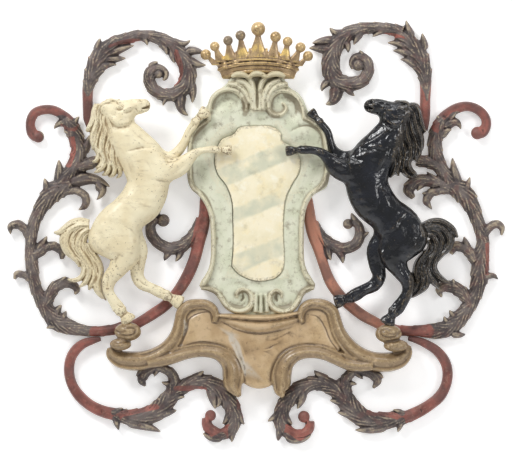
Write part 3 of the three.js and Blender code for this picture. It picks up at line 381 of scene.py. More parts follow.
def lobe_body(lobe, depth, back=0.0, lift=8.0, step=1.8):
    """Pointed leaf lobe with a rib down its middle, lifting off what lies behind it."""
    root, bend, tip = (np.array(lobe[i:i + 2], float) for i in (0, 2, 4))
    length = np.linalg.norm(bend - root) + np.linalg.norm(tip - bend)
    t = np.linspace(0, 1, max(int(length / step), 8))
    centre = (1 - t)[:, None] ** 2 * root + 2 * (t * (1 - t))[:, None] * bend + t[:, None] ** 2 * tip
    widest = min(lobe[6], 0.27 * length)
    half = widest * (1.2 - 0.3 * t) * np.clip(1 - t ** 2.4, 0, 1) ** 0.8 * np.sqrt(np.clip(1.06 - (1 - t / 0.25).clip(0, 1) ** 2, 0, 1)) + 0.5
    line = np.concatenate([centre, half[:, None]], axis=1)
    u = front_shares(25)
    foot = back + lift * t[:, None] ** 1.5
    crest = depth - 4.0 * (1 - t[:, None]) - 6.0 * t[:, None] ** 3
    swell = (1 - 0.7 * np.abs(u)[None, :] ** 2.2)
    groove = 1.8 * (0.5 + 0.5 * np.cos(3 * math.pi * u[None, :])) * (1 - u[None, :] ** 4) * (1 - 0.6 * t[:, None])
    depths = foot + (crest - foot) * swell - groove
    shares, depths = with_back(u, depths, foot[:, 0])
    return carve_along(line, shares, np.maximum(depths, foot + 1.0))


def roll_body(stroke, back, front, step=2.5, strands=0, strand_depth=1.5):
    """Rounded roll, such as a rim, a lip or a lock of hair with strands."""
    line, s = smooth_line(stroke, step)
    u = front_shares(41 if strands else 13)
    widest = max(station[2] for station in stroke)
    crest = back + (front - back) * (np.clip(line[:, 2:3], 0.3, None) / widest) ** 0.35
    depths = back + (crest - back) * np.sqrt(np.clip(1 - 0.92 * u[None, :] ** 2, 0, 1))
    if strands:
        comb = np.cos(math.pi * strands * (u[None, :] + 0.10 * np.sin(s[:, None] / 17.0 + stroke[0][0])))
        depths = depths - strand_depth * (0.5 - 0.5 * comb) * (1 - u[None, :] ** 6)
    shares, depths = with_back(u, depths, np.full(len(line), back))
    return carve_along(line, shares, np.maximum(depths, back))


# Building pieces from bodies

def new_object(name, verts, faces):
    """A mesh object from millimetre vertices."""
    mesh = bpy.data.meshes.new(name)
    mesh.from_pydata((np.asarray(verts) * MM).tolist(), [], faces)
    mesh.validate()
    obj = bpy.data.objects.new(name, mesh)
    bpy.context.scene.collection.objects.link(obj)
    return obj


def merged_object(name, bodies):
    """One object that holds several closed bodies."""
    verts, faces, offset = [], [], 0
    for body_verts, body_faces in bodies:
        verts.append(np.asarray(body_verts))
        faces.extend(tuple(corner + offset for corner in face) for face in body_faces)
        offset += len(body_verts)
    obj = new_object(name, np.concatenate(verts), faces)
    pick(obj)
    bpy.ops.object.mode_set(mode="EDIT")
    bpy.ops.mesh.select_all(action="SELECT")
    bpy.ops.mesh.normals_make_consistent(inside=False)
    bpy.ops.object.mode_set(mode="OBJECT")
    return obj


def pick(obj):
    """Makes one object the only selected and the active one."""
    bpy.ops.object.select_all(action="DESELECT")
    obj.select_set(True)
    bpy.context.view_layer.objects.active = obj


def finish_modifier(obj, kind, **settings):
    """Adds a modifier with its settings and applies it."""
    pick(obj)
    modifier = obj.modifiers.new(kind.title(), kind)
    for key, value in settings.items():
        setattr(modifier, key, value)
    bpy.ops.object.modifier_apply(modifier=modifier.name)


def fuse(obj, grain, smooth=2, factor=0.5):
    """Fuses overlapping bodies into one skin with faces of about one grain, in millimetres."""
    finish_modifier(obj, "REMESH", mode="VOXEL", voxel_size=grain * MM, adaptivity=0.0)
    if smooth:
        finish_modifier(obj, "SMOOTH", factor=factor, iterations=smooth)


def thin_out(obj, triangles):
    """Brings a mesh down to about a number of triangles."""
    count = sum(len(face.vertices) - 2 for face in obj.data.polygons)
    if count > triangles:
        finish_modifier(obj, "DECIMATE", ratio=triangles / count, use_collapse_triangulate=True)


def points_of(obj):
    """Vertex places in millimetres."""
    points = np.empty(len(obj.data.vertices) * 3, np.float32)
    obj.data.vertices.foreach_get("co", points)
    return points.reshape(-1, 3).astype(float) / MM


def set_points(obj, points):
    obj.data.vertices.foreach_set("co", (points * MM).astype(np.float32).ravel())
    obj.data.update()


def normals_of(obj):
    normals = np.empty(len(obj.data.vertices) * 3, np.float32)
    obj.data.vertex_normals.foreach_get("vector", normals)
    return normals.reshape(-1, 3).astype(float)


def set_mask(obj, name, values):
    """Stores one number at each vertex for the materials to read."""
    layer = obj.data.attributes.new(name, "FLOAT", "POINT")
    layer.data.foreach_set("value", np.asarray(values, np.float32))


def mask_relief(obj):
    """Stores how far each vertex stands out of the surface around it, finely and broadly."""
    points, normals = points_of(obj), normals_of(obj)
    edges = np.empty(len(obj.data.edges) * 2, np.int32)
    obj.data.edges.foreach_get("vertices", edges)
    edges = edges.reshape(-1, 2)
    ends = np.concatenate([edges[:, 0], edges[:, 1]])
    others = np.concatenate([edges[:, 1], edges[:, 0]])
    count = np.maximum(np.bincount(ends, minlength=len(points)), 1)
    soft = points.copy()
    for turn in range(36):
        soft = np.stack([np.bincount(ends, soft[others, axis], minlength=len(points)) / count
                         for axis in range(3)], axis=1)
        if turn == 4:
            set_mask(obj, "fine_relief", ((points - soft) * normals).sum(1))
    set_mask(obj, "broad_relief", ((points - soft) * normals).sum(1))


def calm_relief(obj, outline):
    """Takes out the relief that a cut edge has all round an outline."""
    ring, _ = outline_ring(outline)
    points = points_of(obj)
    gap = np.full(len(points), 1e9)
    for corner in ring:
        gap = np.minimum(gap, np.hypot(points[:, 0] - corner[0], points[:, 2] - corner[1]))
    for name in ("fine_relief", "broad_relief"):
        layer = obj.data.attributes[name].data
        values = np.empty(len(points), np.float32)
        layer.foreach_get("value", values)
        layer.foreach_set("value", values * np.clip(gap / 12 - 0.25, 0, 1).astype(np.float32))


def distance_to(points, strokes, step=4.0):
    """Least distance from each point to any of the strokes, as a share of its half width."""
    nearest = np.full(len(points), 1e9)
    for stroke in strokes:
        line, _ = smooth_line(stroke, step)
        for start in range(0, len(points), 20000):
            part = points[start:start + 20000]
            gap = np.hypot(part[:, None, 0] - line[None, :, 0], part[:, None, 2] - line[None, :, 1])
            share = (gap / np.maximum(line[None, :, 2], 2.0)).min(axis=1)
            nearest[start:start + 20000] = np.minimum(nearest[start:start + 20000], share)
    return nearest


def carve(obj, strokes, keep=None):
    """Works strokes into the front of a piece. A stroke is (kind, height, [[x, z, half width], ...]).

    A groove is cut in, a ridge is raised, and a fold is raised at the left of its stroke and cut at the right.
    """
    points, normals = points_of(obj), normals_of(obj)
    push = np.zeros(len(points))
    for kind, height, stroke in strokes:
        line, _ = smooth_line(stroke, 1.5)
        _, across = directions(line)
        margin = line[:, 2].max() * 3
        inside = np.all((points[:, [0, 2]] > line[:, :2].min(0) - margin)
                        & (points[:, [0, 2]] < line[:, :2].max(0) + margin), axis=1)
        near = np.nonzero(inside)[0]
        for start in range(0, len(near), 20000):
            part = near[start:start + 20000]
            away = points[part][:, None, [0, 2]] - line[None, :, :2]
            gaps = np.hypot(away[..., 0], away[..., 1])
            closest = gaps.argmin(axis=1)
            rows = np.arange(len(part))
            half = line[closest, 2]
            share = gaps[rows, closest] / half
            fade = np.sin(math.pi * np.clip(closest / (len(line) - 1), 0.02, 0.98)) ** 0.5
            amount = height * fade * np.exp(-share ** 2)
            if kind == "groove":
                amount = -amount
            elif kind == "fold":
                side = (away[rows, closest] * across[closest]).sum(1) / half
                amount = 0.75 * height * fade * np.tanh(1.8 * side) * np.exp(-0.5 * share ** 2)
            push[part] += amount
    facing = np.clip(-normals[:, 1] * 2, 0, 1)
    if keep is not None:
        facing = facing * keep
    set_points(obj, points + normals * (push * facing)[:, None])


def finish_piece(obj, node, material):
    """Gives a piece its place on the body, its material and smooth shading."""
    mask_relief(obj)
    set_mask(obj, "back", np.clip((normals_of(obj)[:, 1] - 0.6) * 5, 0, 1))
    obj.data.materials.clear()
    obj.data.materials.append(material)
    obj.data.polygons.foreach_set("use_smooth", [True] * len(obj.data.polygons))
    obj.data.update()
    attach(obj, "root")
    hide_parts(node)


def build_scroll(node, sizes, material):
    shape = SCROLLS[node]
    covers = shape.get("covers", [])
    bodies = [band_body(stroke, sizes.band_depth) for stroke in shape["bands"]]
    bodies += [leafy_body(stroke, sizes.leaf_depth, sizes.leaf_notch, sizes.vein_depth)
               for stroke in shape["stems"] + covers]
    bodies += [lobe_body(lobe, sizes.leaf_depth) for lobe in shape["lobes"]]
    obj = merged_object(node + "_carving", bodies)
    balls = [ball_object(x, 13, z, radius, 12.8) for x, z, radius in shape["balls"]]
    join_into(obj, balls)
    fuse(obj, sizes.scroll_grain, smooth=1)
    thin_out(obj, sizes.scroll_triangles)
    points = points_of(obj)
    leaves = [[[*lobe[0:2], lobe[6]], [*lobe[2:4], lobe[6] * 0.9], [*lobe[4:6], lobe[6] * 0.4]]
              for lobe in shape["lobes"]]
    bare = np.clip((1.5 - distance_to(points, shape["bands"])) * 2, 0, 1)
    if covers:
        bare *= np.clip((distance_to(points, covers) - 0.95) * 6, 0, 1)
    if shape["red"]:
        bare = np.maximum(bare, np.clip((1.4 - distance_to(points, shape["red"])) * 2.5, 0, 1))
    set_mask(obj, "lacquer", bare * np.clip((distance_to(points, leaves) - 0.8) * 3, 0, 1))
    # Painted light: the inner right scroll gets a lighter red where the cartouche shades it.
    set_mask(obj, "painted_light_red", np.full(len(points), float(node == "inner_scroll_right")))
    finish_piece(obj, node, material)


def ball_object(x, depth, z, radius, half_depth):
    """A carved ball, a little flattened towards the wall."""
    bpy.ops.mesh.primitive_uv_sphere_add(segments=28, ring_count=16, radius=radius * MM,
                                         location=(x * MM, -depth * MM, z * MM))
    ball = bpy.context.active_object
    ball.scale = (1, half_depth / radius, 1)
    bpy.ops.object.transform_apply(location=True, rotation=True, scale=True)
    return ball


def join_into(obj, others):
    """Joins other objects into one."""
    bpy.ops.object.select_all(action="DESELECT")
    for other in others:
        other.select_set(True)
    obj.select_set(True)
    bpy.context.view_layer.objects.active = obj
    bpy.ops.object.join()


# Paints

def linear(red, green, blue):
    """A colour given as it looks on a screen, 0 to 255, in the renderer's linear units."""
    return tuple(((v / 255 + 0.055) / 1.055) ** 2.4 if v > 10.3 else v / 255 / 12.92 for v in (red, green, blue))


class Paint:
    """A material that is put together node by node."""

    def __init__(self, name, roughness=0.5, metallic=0.0, coat=0.0):
        self.material = bpy.data.materials.new(name)
        self.material.use_nodes = True
        self.tree = self.material.node_tree
        self.tree.nodes.clear()
        self.surface = self.tree.nodes.new("ShaderNodeBsdfPrincipled")
        self.surface.inputs["Roughness"].default_value = roughness
        self.surface.inputs["Metallic"].default_value = metallic
        output = self.tree.nodes.new("ShaderNodeOutputMaterial")
        self.tree.links.new(self.surface.outputs[0], output.inputs["Surface"])
        self.place = self.tree.nodes.new("ShaderNodeTexCoord").outputs["Object"]
        if coat:
            front = self.sum(1.0, self.mask("back"), "SUBTRACT")
            self.feed(self.surface.inputs["Coat Weight"], self.times(front, coat))

    def feed(self, socket, value):
        if isinstance(value, bpy.types.NodeSocket):
            self.tree.links.new(value, socket)
        elif isinstance(value, tuple):
            socket.default_value = (*value[:3], 1.0) if len(socket.default_value) == 4 else value
        else:
            socket.default_value = value

    def mask(self, name):
        node = self.tree.nodes.new("ShaderNodeAttribute")
        node.attribute_name = name
        return node.outputs["Fac"]

    def noise(self, grain, detail=3.0, roughness=0.55, distortion=0.0, stretch=(1, 1, 1)):
        """Cloudy noise whose patches are about one grain, in millimetres."""
        place = self.place
        if stretch != (1, 1, 1):
            mapping = self.tree.nodes.new("ShaderNodeMapping")
            mapping.inputs["Scale"].default_value = stretch
            self.tree.links.new(place, mapping.inputs["Vector"])
            place = mapping.outputs["Vector"]
        node = self.tree.nodes.new("ShaderNodeTexNoise")
        node.inputs["Scale"].default_value = 1 / (grain * MM)
        node.inputs["Detail"].default_value = detail
        node.inputs["Roughness"].default_value = roughness
        node.inputs["Distortion"].default_value = distortion
        self.tree.links.new(place, node.inputs["Vector"])
        return node.outputs["Fac"]

    def between(self, value, low, high, smooth=True):
        """0 below low, 1 above high and a slope between. low may be the larger."""
        node = self.tree.nodes.new("ShaderNodeMapRange")
        node.interpolation_type = "SMOOTHSTEP" if smooth else "LINEAR"
        flip = low > high
        self.feed(node.inputs["Value"], value)
        node.inputs["From Min"].default_value = min(low, high)
        node.inputs["From Max"].default_value = max(low, high)
        node.inputs["To Min"].default_value = 1.0 if flip else 0.0
        node.inputs["To Max"].default_value = 0.0 if flip else 1.0
        return node.outputs["Result"]

    def sum(self, a, b, operation="ADD"):
        node = self.tree.nodes.new("ShaderNodeMath")
        node.operation = operation
        self.feed(node.inputs[0], a)
        self.feed(node.inputs[1], b)
        return node.outputs[0]

    def times(self, a, b):
        return self.sum(a, b, "MULTIPLY")

    def mix(self, share, a, b):
        node = self.tree.nodes.new("ShaderNodeMix")
        node.data_type = "RGBA"
        self.feed(node.inputs[0], share)
        self.feed(node.inputs[6], a)
        self.feed(node.inputs[7], b)
        return node.outputs[2]

    def axis(self, name):
        node = self.tree.nodes.new("ShaderNodeSeparateXYZ")
        self.tree.links.new(self.place, node.inputs[0])
        return node.outputs[name]

    def bump(self, height, distance, strength=1.0):
        """Low relief in the light only, with its height in millimetres."""
        node = self.tree.nodes.new("ShaderNodeBump")
        node.inputs["Strength"].default_value = strength
        node.inputs["Distance"].default_value = distance * MM
        self.tree.links.new(height, node.inputs["Height"])
        self.tree.links.new(node.outputs[0], self.surface.inputs["Normal"])

    def colour(self, value):
        """The colour of the front. The back is bare old wood with its grain upright."""
        grain = self.noise(9, detail=6, roughness=0.7, stretch=(1, 1, 0.05))
        _, colours = settings()
        wood = self.mix(self.between(grain, 0.35, 0.65), tuple(colours.wood_dark), tuple(colours.wood_light))
        self.feed(self.surface.inputs["Base Color"], self.mix(self.mask("back"), value, wood))

    def rough(self, value):
        self.feed(self.surface.inputs["Roughness"], self.sum(value, self.times(self.mask("back"), 0.4)))


def painted_shade_and_grime(paint, grain, narrow=1.0, wide=0.2, first=-0.15, last=-0.8):
    """How much grime and painted shade lies at a place: most in narrow grooves, some in wide hollows."""
    fine = paint.sum(paint.mask("fine_relief"), paint.times(paint.sum(grain, -0.5), 0.5))
    in_grooves = paint.times(paint.between(fine, first, last), narrow)
    # Wide hollows are darkened as painted shade.
    in_hollows = paint.times(paint.between(paint.mask("broad_relief"), -1.0, -5.0), wide)
    return paint.sum(paint.sum(in_grooves, in_hollows), 1.0, "MINIMUM")


def cracks(paint, grain, width, share):
    """Fine wandering cracks in some places."""
    wander = paint.noise(grain, detail=6, roughness=0.62, distortion=0.6)
    line = paint.between(paint.sum(paint.sum(wander, -0.5), 0.0, "ABSOLUTE"), width, 0.0)
    return paint.times(line, paint.between(paint.noise(grain * 1.7, detail=3), 1 - share, 1.12 - share))


def flakes(paint, grain, share, more=None):
    """Small places where the paint has flaked off. more is a mask that adds to them."""
    spots = paint.noise(grain, detail=6, roughness=0.7, distortion=0.4)
    spots = paint.sum(spots, paint.times(paint.between(paint.noise(grain * 7, detail=3), 0.56, 0.42), -0.05))
    if more is not None:
        spots = paint.sum(spots, paint.times(more, 0.09))
    return paint.between(spots, 0.71 - share, 0.74 - share)


def leaf_paint(colours):
    """Tarnished leaf over carved foliage, rubbed and with painted highlights on its edges, grime and painted shade in
    its grooves, and bands of old red lacquer.
    """
    paint = Paint("Tarnished leaf and red lacquer", roughness=0.45)
    cloud = paint.noise(38, detail=4)
    grain = paint.noise(5, detail=6, roughness=0.75)
    fleck = paint.noise(10, detail=7, roughness=0.75, distortion=1.2)
    relief = paint.sum(paint.mask("fine_relief"), paint.times(paint.sum(fleck, -0.5), 3.0))
    leaf = paint.mix(paint.between(cloud, 0.35, 0.65), tuple(colours.leaf_dark), tuple(colours.leaf_light))
    bole = paint.times(paint.between(paint.noise(20, detail=5), 0.48, 0.62),
                       paint.sum(0.3, paint.times(paint.between(paint.axis("X"), -0.2, 0.5), 0.3)))
    leaf = paint.mix(bole, leaf, tuple(colours.leaf_bole))
    # Raised ridges of the leaves lighten: rubbed wear and painted highlights.
    worn = paint.times(paint.between(relief, 0.1, 1.0), paint.between(paint.noise(22, detail=4), 0.34, 0.56))
    leaf = paint.mix(paint.times(worn, 0.85), leaf, tuple(colours.leaf_worn_and_highlight))
    red = paint.mix(paint.between(cloud, 0.3, 0.7), tuple(colours.lacquer_dark), tuple(colours.lacquer))
    # Painted light: a lighter red on the inner right scroll, against the cartouche's shade there.
    red = paint.mix(paint.times(paint.mask("painted_light_red"), 0.7), red, tuple(colours.lacquer_painted_light))
    red = paint.mix(paint.times(paint.between(fleck, 0.5, 0.66), 0.6), red, tuple(colours.lacquer_worn))
    # The red is darker on broadly proud places and in large patches.
    red_darkening = paint.sum(paint.times(paint.between(paint.mask("broad_relief"), 1.0, 4.0), 0.5),
                      paint.times(paint.between(paint.noise(55, detail=5), 0.46, 0.62), 0.55), "MAXIMUM")
    red = paint.mix(red_darkening, red, tuple(colours.leaf_dark))
    red = paint.mix(paint.times(paint.between(grain, 0.42, 0.3), 0.6), red, tuple(colours.leaf_dark))
    edge = paint.sum(paint.mask("lacquer"), paint.times(paint.sum(fleck, -0.5), 1.6))
    both = paint.mix(paint.between(edge, 0.4, 0.6), leaf, red)
    both = paint.mix(paint.times(flakes(paint, 8, 0.06), 0.5), both, tuple(colours.leaf_worn_and_highlight))
    # Grooves and hollows take the dark colour: grime and painted shade.
    paint.colour(paint.mix(paint.times(painted_shade_and_grime(paint, grain, first=-0.1), 0.85), both, tuple(colours.dirt_and_shade)))
    paint.rough(paint.sum(0.3, paint.times(grain, 0.35)))
    paint.bump(grain, 1.2, 0.9)
    return paint.material


def horse_paint(name, tones, recess, worn, roughness, coat, flaked, hair_worn, dents):
    """Old paint on the horses: stained, darker in the hollows with grime and painted shade, rubbed on the edges, flaked
    at the feet.
    """
    paint = Paint(name, coat=coat)
    fine = paint.mask("fine_relief")
    grain = paint.noise(4, detail=5, roughness=0.7)
    base = paint.mix(paint.between(paint.noise(45, detail=4), 0.35, 0.7), tuple(tones[0]), tuple(tones[1]))
    streaks = paint.between(paint.noise(14, detail=6, roughness=0.7, stretch=(0.35, 1, 1.3)), 0.52, 0.74)
    base = paint.mix(paint.times(streaks, 0.4), base, tuple(recess))
    base = paint.mix(paint.times(paint.mask("hair"), hair_worn * 0.15), base, tuple(worn))
    rubbed = paint.times(paint.between(fine, 0.25, 0.9), paint.between(grain, 0.48, 0.62))
    in_hair = paint.times(paint.mask("hair"), paint.between(paint.sum(grain, paint.times(fine, 0.16)), 0.56, 0.68))
    rubbed = paint.sum(rubbed, paint.times(in_hair, hair_worn), "MAXIMUM")
    lost = paint.sum(rubbed, flakes(paint, 7, flaked, paint.mask("feet")), "MAXIMUM")
    lost = paint.sum(lost, cracks(paint, 30, 0.012, flaked * 4), "MAXIMUM")
    base = paint.mix(paint.times(lost, 0.75), base, tuple(worn))
    # Grooves and hollows darken to the recess colour: grime and painted shade.
    dirt_and_shade = painted_shade_and_grime(paint, grain, 0.9, 0.3, first=-0.08, last=-0.7)
    paint.colour(paint.mix(paint.times(dirt_and_shade, 0.9), base, tuple(recess)))
    paint.rough(paint.sum(roughness, paint.times(paint.sum(grain, -0.5), 0.2)))
    paint.surface.inputs["Coat Roughness"].default_value = 0.08
    paint.bump(paint.noise(24, detail=4, roughness=0.4), dents, 1.0)
    return paint.material


def field_paint(name, tones, recess, edge, roughness=0.5, metallic=0.0, edge_share=0.8, grain_size=5,
                trims=(), tops=(), flaked=0.02, dirt_and_shade=0.85, hollows=0.2, speckled="none", stained=0.3, coat=0.0):
    """Aged paint or gilding: clouded on the flats, rubbed and with painted highlights on the edges, with grime and
    painted shade in the hollows.

    trims and tops are pairs of a mask and the colour that shows there, below and above the rubbed edges and their
    painted highlights.
    speckled is the mask of the places that are flaked most.
    """
    paint = Paint(name, metallic=metallic, coat=coat)
    paint.surface.inputs["Coat Roughness"].default_value = 0.22
    fine = paint.mask("fine_relief")
    grain = paint.noise(grain_size, detail=5, roughness=0.7)
    base = paint.mix(paint.between(paint.noise(42, detail=5), 0.35, 0.68), tuple(tones[0]), tuple(tones[1]))
    stains = paint.times(paint.between(paint.noise(18, detail=6, roughness=0.7), 0.5, 0.72), stained)
    base = paint.mix(stains, base, tuple(recess))
    cover = paint.between(paint.noise(12, detail=5), 0.2, 0.5)
    for mask_name, colour in trims:
        base = paint.mix(paint.times(paint.times(paint.mask(mask_name), cover), 0.85), base, tuple(colour))
    # Raised edges lighten to the edge colour: rubbed wear and painted highlights.
    high = paint.times(paint.between(fine, 0.15, 0.8), paint.between(grain, 0.36, 0.6))
    base = paint.mix(paint.times(high, edge_share), base, tuple(edge))
    for mask_name, colour in tops:
        base = paint.mix(paint.times(paint.times(paint.mask(mask_name), cover), 0.85), base, tuple(colour))
    lost = paint.sum(flakes(paint, 8, flaked, paint.mask(speckled)), cracks(paint, 26, 0.012, flaked * 6), "MAXIMUM")
    base = paint.mix(paint.times(lost, 0.6), base, tuple(recess))
    # Grooves and hollows darken to the recess colour: grime and painted shade.
    shade = painted_shade_and_grime(paint, grain, wide=hollows, first=-0.25, last=-1.1)
    paint.colour(paint.mix(paint.times(shade, dirt_and_shade), base, tuple(recess)))
    paint.rough(paint.sum(roughness, paint.times(paint.sum(grain, -0.5), 0.3)))
    paint.bump(paint.noise(7, detail=5, roughness=0.65), 0.7, 0.6)
    return paint


def shield_paint(sizes, colours):
    """Cream field with three worn grey-green bends that rise to the right."""
    paint = Paint("Painted shield")
    cloud = paint.noise(60, detail=4)
    grain = paint.noise(6, detail=5, roughness=0.7)
    wear = paint.noise(26, detail=6, roughness=0.65)
    x, z = paint.axis("X"), paint.axis("Z")
    waver = paint.times(paint.sum(paint.noise(60, detail=2), -0.5), 18 * MM)
    fray = paint.times(paint.sum(grain, -0.5), 5 * MM)
    height = paint.sum(paint.sum(paint.sum(z, paint.times(x, -sizes.bend_slope)), waver), fray)
    bends = 0.0
    for middle, width in zip(sizes.bend_heights, sizes.bend_widths):
        away = paint.sum(paint.sum(height, -middle * MM), 0.0, "ABSOLUTE")
        bends = paint.sum(bends, paint.between(away, (width / 2 + 5) * MM, (width / 2 - 5) * MM))
    bends = paint.times(bends, paint.between(paint.noise(48, detail=5), 0.74, 0.4))
    field = paint.mix(paint.between(cloud, 0.35, 0.65), tuple(colours.field), tuple(colours.field_shade))
    field = paint.mix(paint.times(paint.between(wear, 0.5, 0.7), 0.6), field, tuple(colours.field_pale))
    yellowed = paint.times(paint.between(paint.noise(38, detail=6, roughness=0.65, distortion=0.3), 0.5, 0.66), 0.5)
    field = paint.mix(yellowed, field, tuple(colours.field_yellowed))
    bend = paint.mix(paint.between(cloud, 0.35, 0.65), tuple(colours.bend), tuple(colours.bend_shade))
    colour = paint.mix(bends, field, bend)
    stains = paint.times(paint.between(paint.noise(34, detail=6, roughness=0.7), 0.52, 0.72), 0.25)
    colour = paint.mix(stains, colour, tuple(colours.green_recess))
    colour = paint.mix(paint.times(flakes(paint, 9, 0.015), 0.6), colour, tuple(colours.green_recess))
    colour = paint.mix(paint.times(cracks(paint, 30, 0.01, 0.3), 0.4), colour, tuple(colours.green_recess))
    edge = paint.times(paint.between(paint.mask("fine_relief"), 0.1, 0.5), paint.between(grain, 0.4, 0.6))
    paint.colour(paint.mix(paint.times(edge, 0.5), colour, tuple(colours.green_recess)))
    paint.rough(paint.sum(0.34, paint.times(grain, 0.25)))
    paint.bump(paint.noise(7, detail=5, roughness=0.65), 0.5, 0.5)
    return paint.material


# The carved pieces other than the scrolls

CARTOUCHE_OUTLINE = [
    [0, 314], [-42, 310], [-68, 302], [-74, 292], [-87, 280], [-107, 265], [-122, 237],
    [-145, 220], [-162, 195], [-167, 167], [-172, 135], [-175, 100], [-175, 72], [-172, 50],
    [-163, 32], [-141, 12], [-125, -10], [-116, -37], [-110, -85], [-110, -127], [-113, -170],
    [-122, -197], [-141, -217], [-123, -227], [-103, -234], [-90, -255], [-70, -272],
    [-50, -281], [57, -282], [82, -275], [102, -259], [111, -237], [129, -230], [144, -217],
    [130, -200], [117, -181], [112, -152], [111, -112], [112, -77], [116, -25], [122, -5],
    [135, 10], [155, 20], [172, 30], [180, 55], [183, 80], [184, 110], [177, 145],
    [167, 172], [147, 200], [127, 222], [115, 250], [102, 267], [82, 280], [72, 292],
    [68, 302], [42, 310],
]
CARTOUCHE_RIMS = [
    [[-26.5, 221.2, 5], [-28.5, 240, 7.5], [-37.5, 257.5, 8.5], [-52.5, 270, 8.5], [-72.5, 274.5, 8],
     [-92.5, 268.8, 7.5], [-108.8, 254, 7.5], [-116.5, 235, 7], [-119.5, 215, 6.5], [-121, 198.8, 5.5]],
    [[119, 201.2, 6], [115, 220, 6.5], [107.5, 240, 7.5], [95, 256, 8], [80, 267.5, 8.5],
     [61.2, 272, 8.5], [43.8, 265, 8], [32.5, 250, 7.5], [28.5, 232.5, 6.8], [34.5, 217.5, 5.8],
     [47.5, 211, 5.2], [64, 214, 4.8], [72.5, 225, 4.2], [70.5, 237, 3.8], [61.5, 241.5, 3]],
    [[-120, 197.5, 5], [-135, 187.5, 6], [-152.5, 172.5, 6.5], [-164, 152.5, 6.5], [-167.5, 130, 6],
     [-167.5, 100, 6], [-166.5, 70, 6], [-166, 47.5, 6.5], [-158.5, 30, 6.5], [-144, 17.5, 6.5],
     [-131, 2.5, 6.5], [-120, -17.5, 6.5], [-112.5, -42.5, 6.5], [-109.5, -75, 6.5],
     [-108.5, -112.5, 6.5], [-109.5, -145, 6.5], [-114, -170, 6.5], [-122.5, -190, 7.5],
     [-134, -207.5, 7.5], [-141.5, -217, 4]],
    [[118.5, 202.5, 5.5], [130, 197.5, 6], [147.5, 187.5, 6.5], [161, 172.5, 6.5], [168.5, 152.5, 6.5],
     [173, 125, 6.5], [175, 95, 6], [173.5, 70, 6], [167.5, 46.2, 6.5], [153.5, 28.8, 6.5],
     [136.5, 16, 6.5], [124, -1.5, 6.5], [115.5, -25, 6.5], [111.5, -55, 6.5], [110.5, -95, 6.5],
     [110.5, -130, 6.5], [113, -160, 6.5], [120.5, -182.5, 7], [131.5, -200, 7], [143.5, -214, 4]],
    [[-140, -219, 5], [-120, -221.5, 6], [-101.5, -230, 6.5], [-89, -245, 7], [-77.5, -261.5, 7.5],
     [-60, -274, 7.5], [-40, -277.5, 7.5], [-21.5, -270, 7.5], [-12.5, -254, 7], [-14, -237, 6.2],
     [-26, -225, 5.5], [-40.5, -224, 5], [-49.5, -232.5, 4.5], [-49, -244, 3.2]],
    [[142.5, -219, 5], [125, -221.5, 6], [112, -234, 6.5], [102.5, -252.5, 7], [90, -269, 7.5],
     [71, -278.5, 7.5], [51.5, -276, 7.5], [36.5, -264, 7], [31.5, -246.5, 6.2], [37, -232, 5.5],
     [49, -226, 5], [60, -231.5, 4.5], [61.5, -242.5, 3.2]],
]
CARTOUCHE_FLUTES = [
    [[-11.5, 225, 6.2], [-11.5, 250, 8.6], [-17.5, 275, 9.9], [-32.5, 291.5, 9.9], [-52.5, 298.5, 8.3]],
    [[-21.5, 240, 4.4], [-25, 257.5, 6.6], [-37.5, 276, 8.3], [-55, 287, 8.3], [-72.5, 288, 6.2]],
    [[-4, 223.5, 4.4], [-5, 250, 5.8], [-8.5, 275, 7.2], [-16, 296, 8.3], [-23.5, 304, 6.9]],
    [[6, 223.5, 4.4], [6, 250, 5.8], [8, 275, 7.2], [14, 296, 8.3], [21, 304, 6.9]],
    [[15, 225, 6.2], [17, 250, 8.6], [25, 275, 9.9], [39, 291, 9.9], [57.5, 298.5, 8.3]],
    [[25, 242.5, 4.4], [31, 260, 6.6], [44, 277.5, 8.3], [61, 286, 8.3], [77.5, 287, 6.2]],
]
CARTOUCHE_KEYS = [
    [[-1.5, -235, 3.8], [-2.5, -257.5, 5.2], [-4, -280, 6.2]],
    [[10, -235, 3.8], [10, -257.5, 5.2], [10, -282.5, 6.2]],
    [[21, -235, 3.8], [23.5, -257.5, 5.2], [25, -280, 6.2]],
]
CROWN_PETALS = [
    [[-63.8, 305, 4.5], [-52.5, 311.5, 7], [-35, 311, 7.5], [-21, 304.5, 5]],
    [[-21, 304, 4.5], [-7.5, 312.5, 7], [9, 312.5, 7], [23.5, 304.5, 5]],
    [[23.5, 304.5, 4.5], [38.5, 312, 7.5], [56.5, 312, 7], [70, 305.5, 4.5]],
]
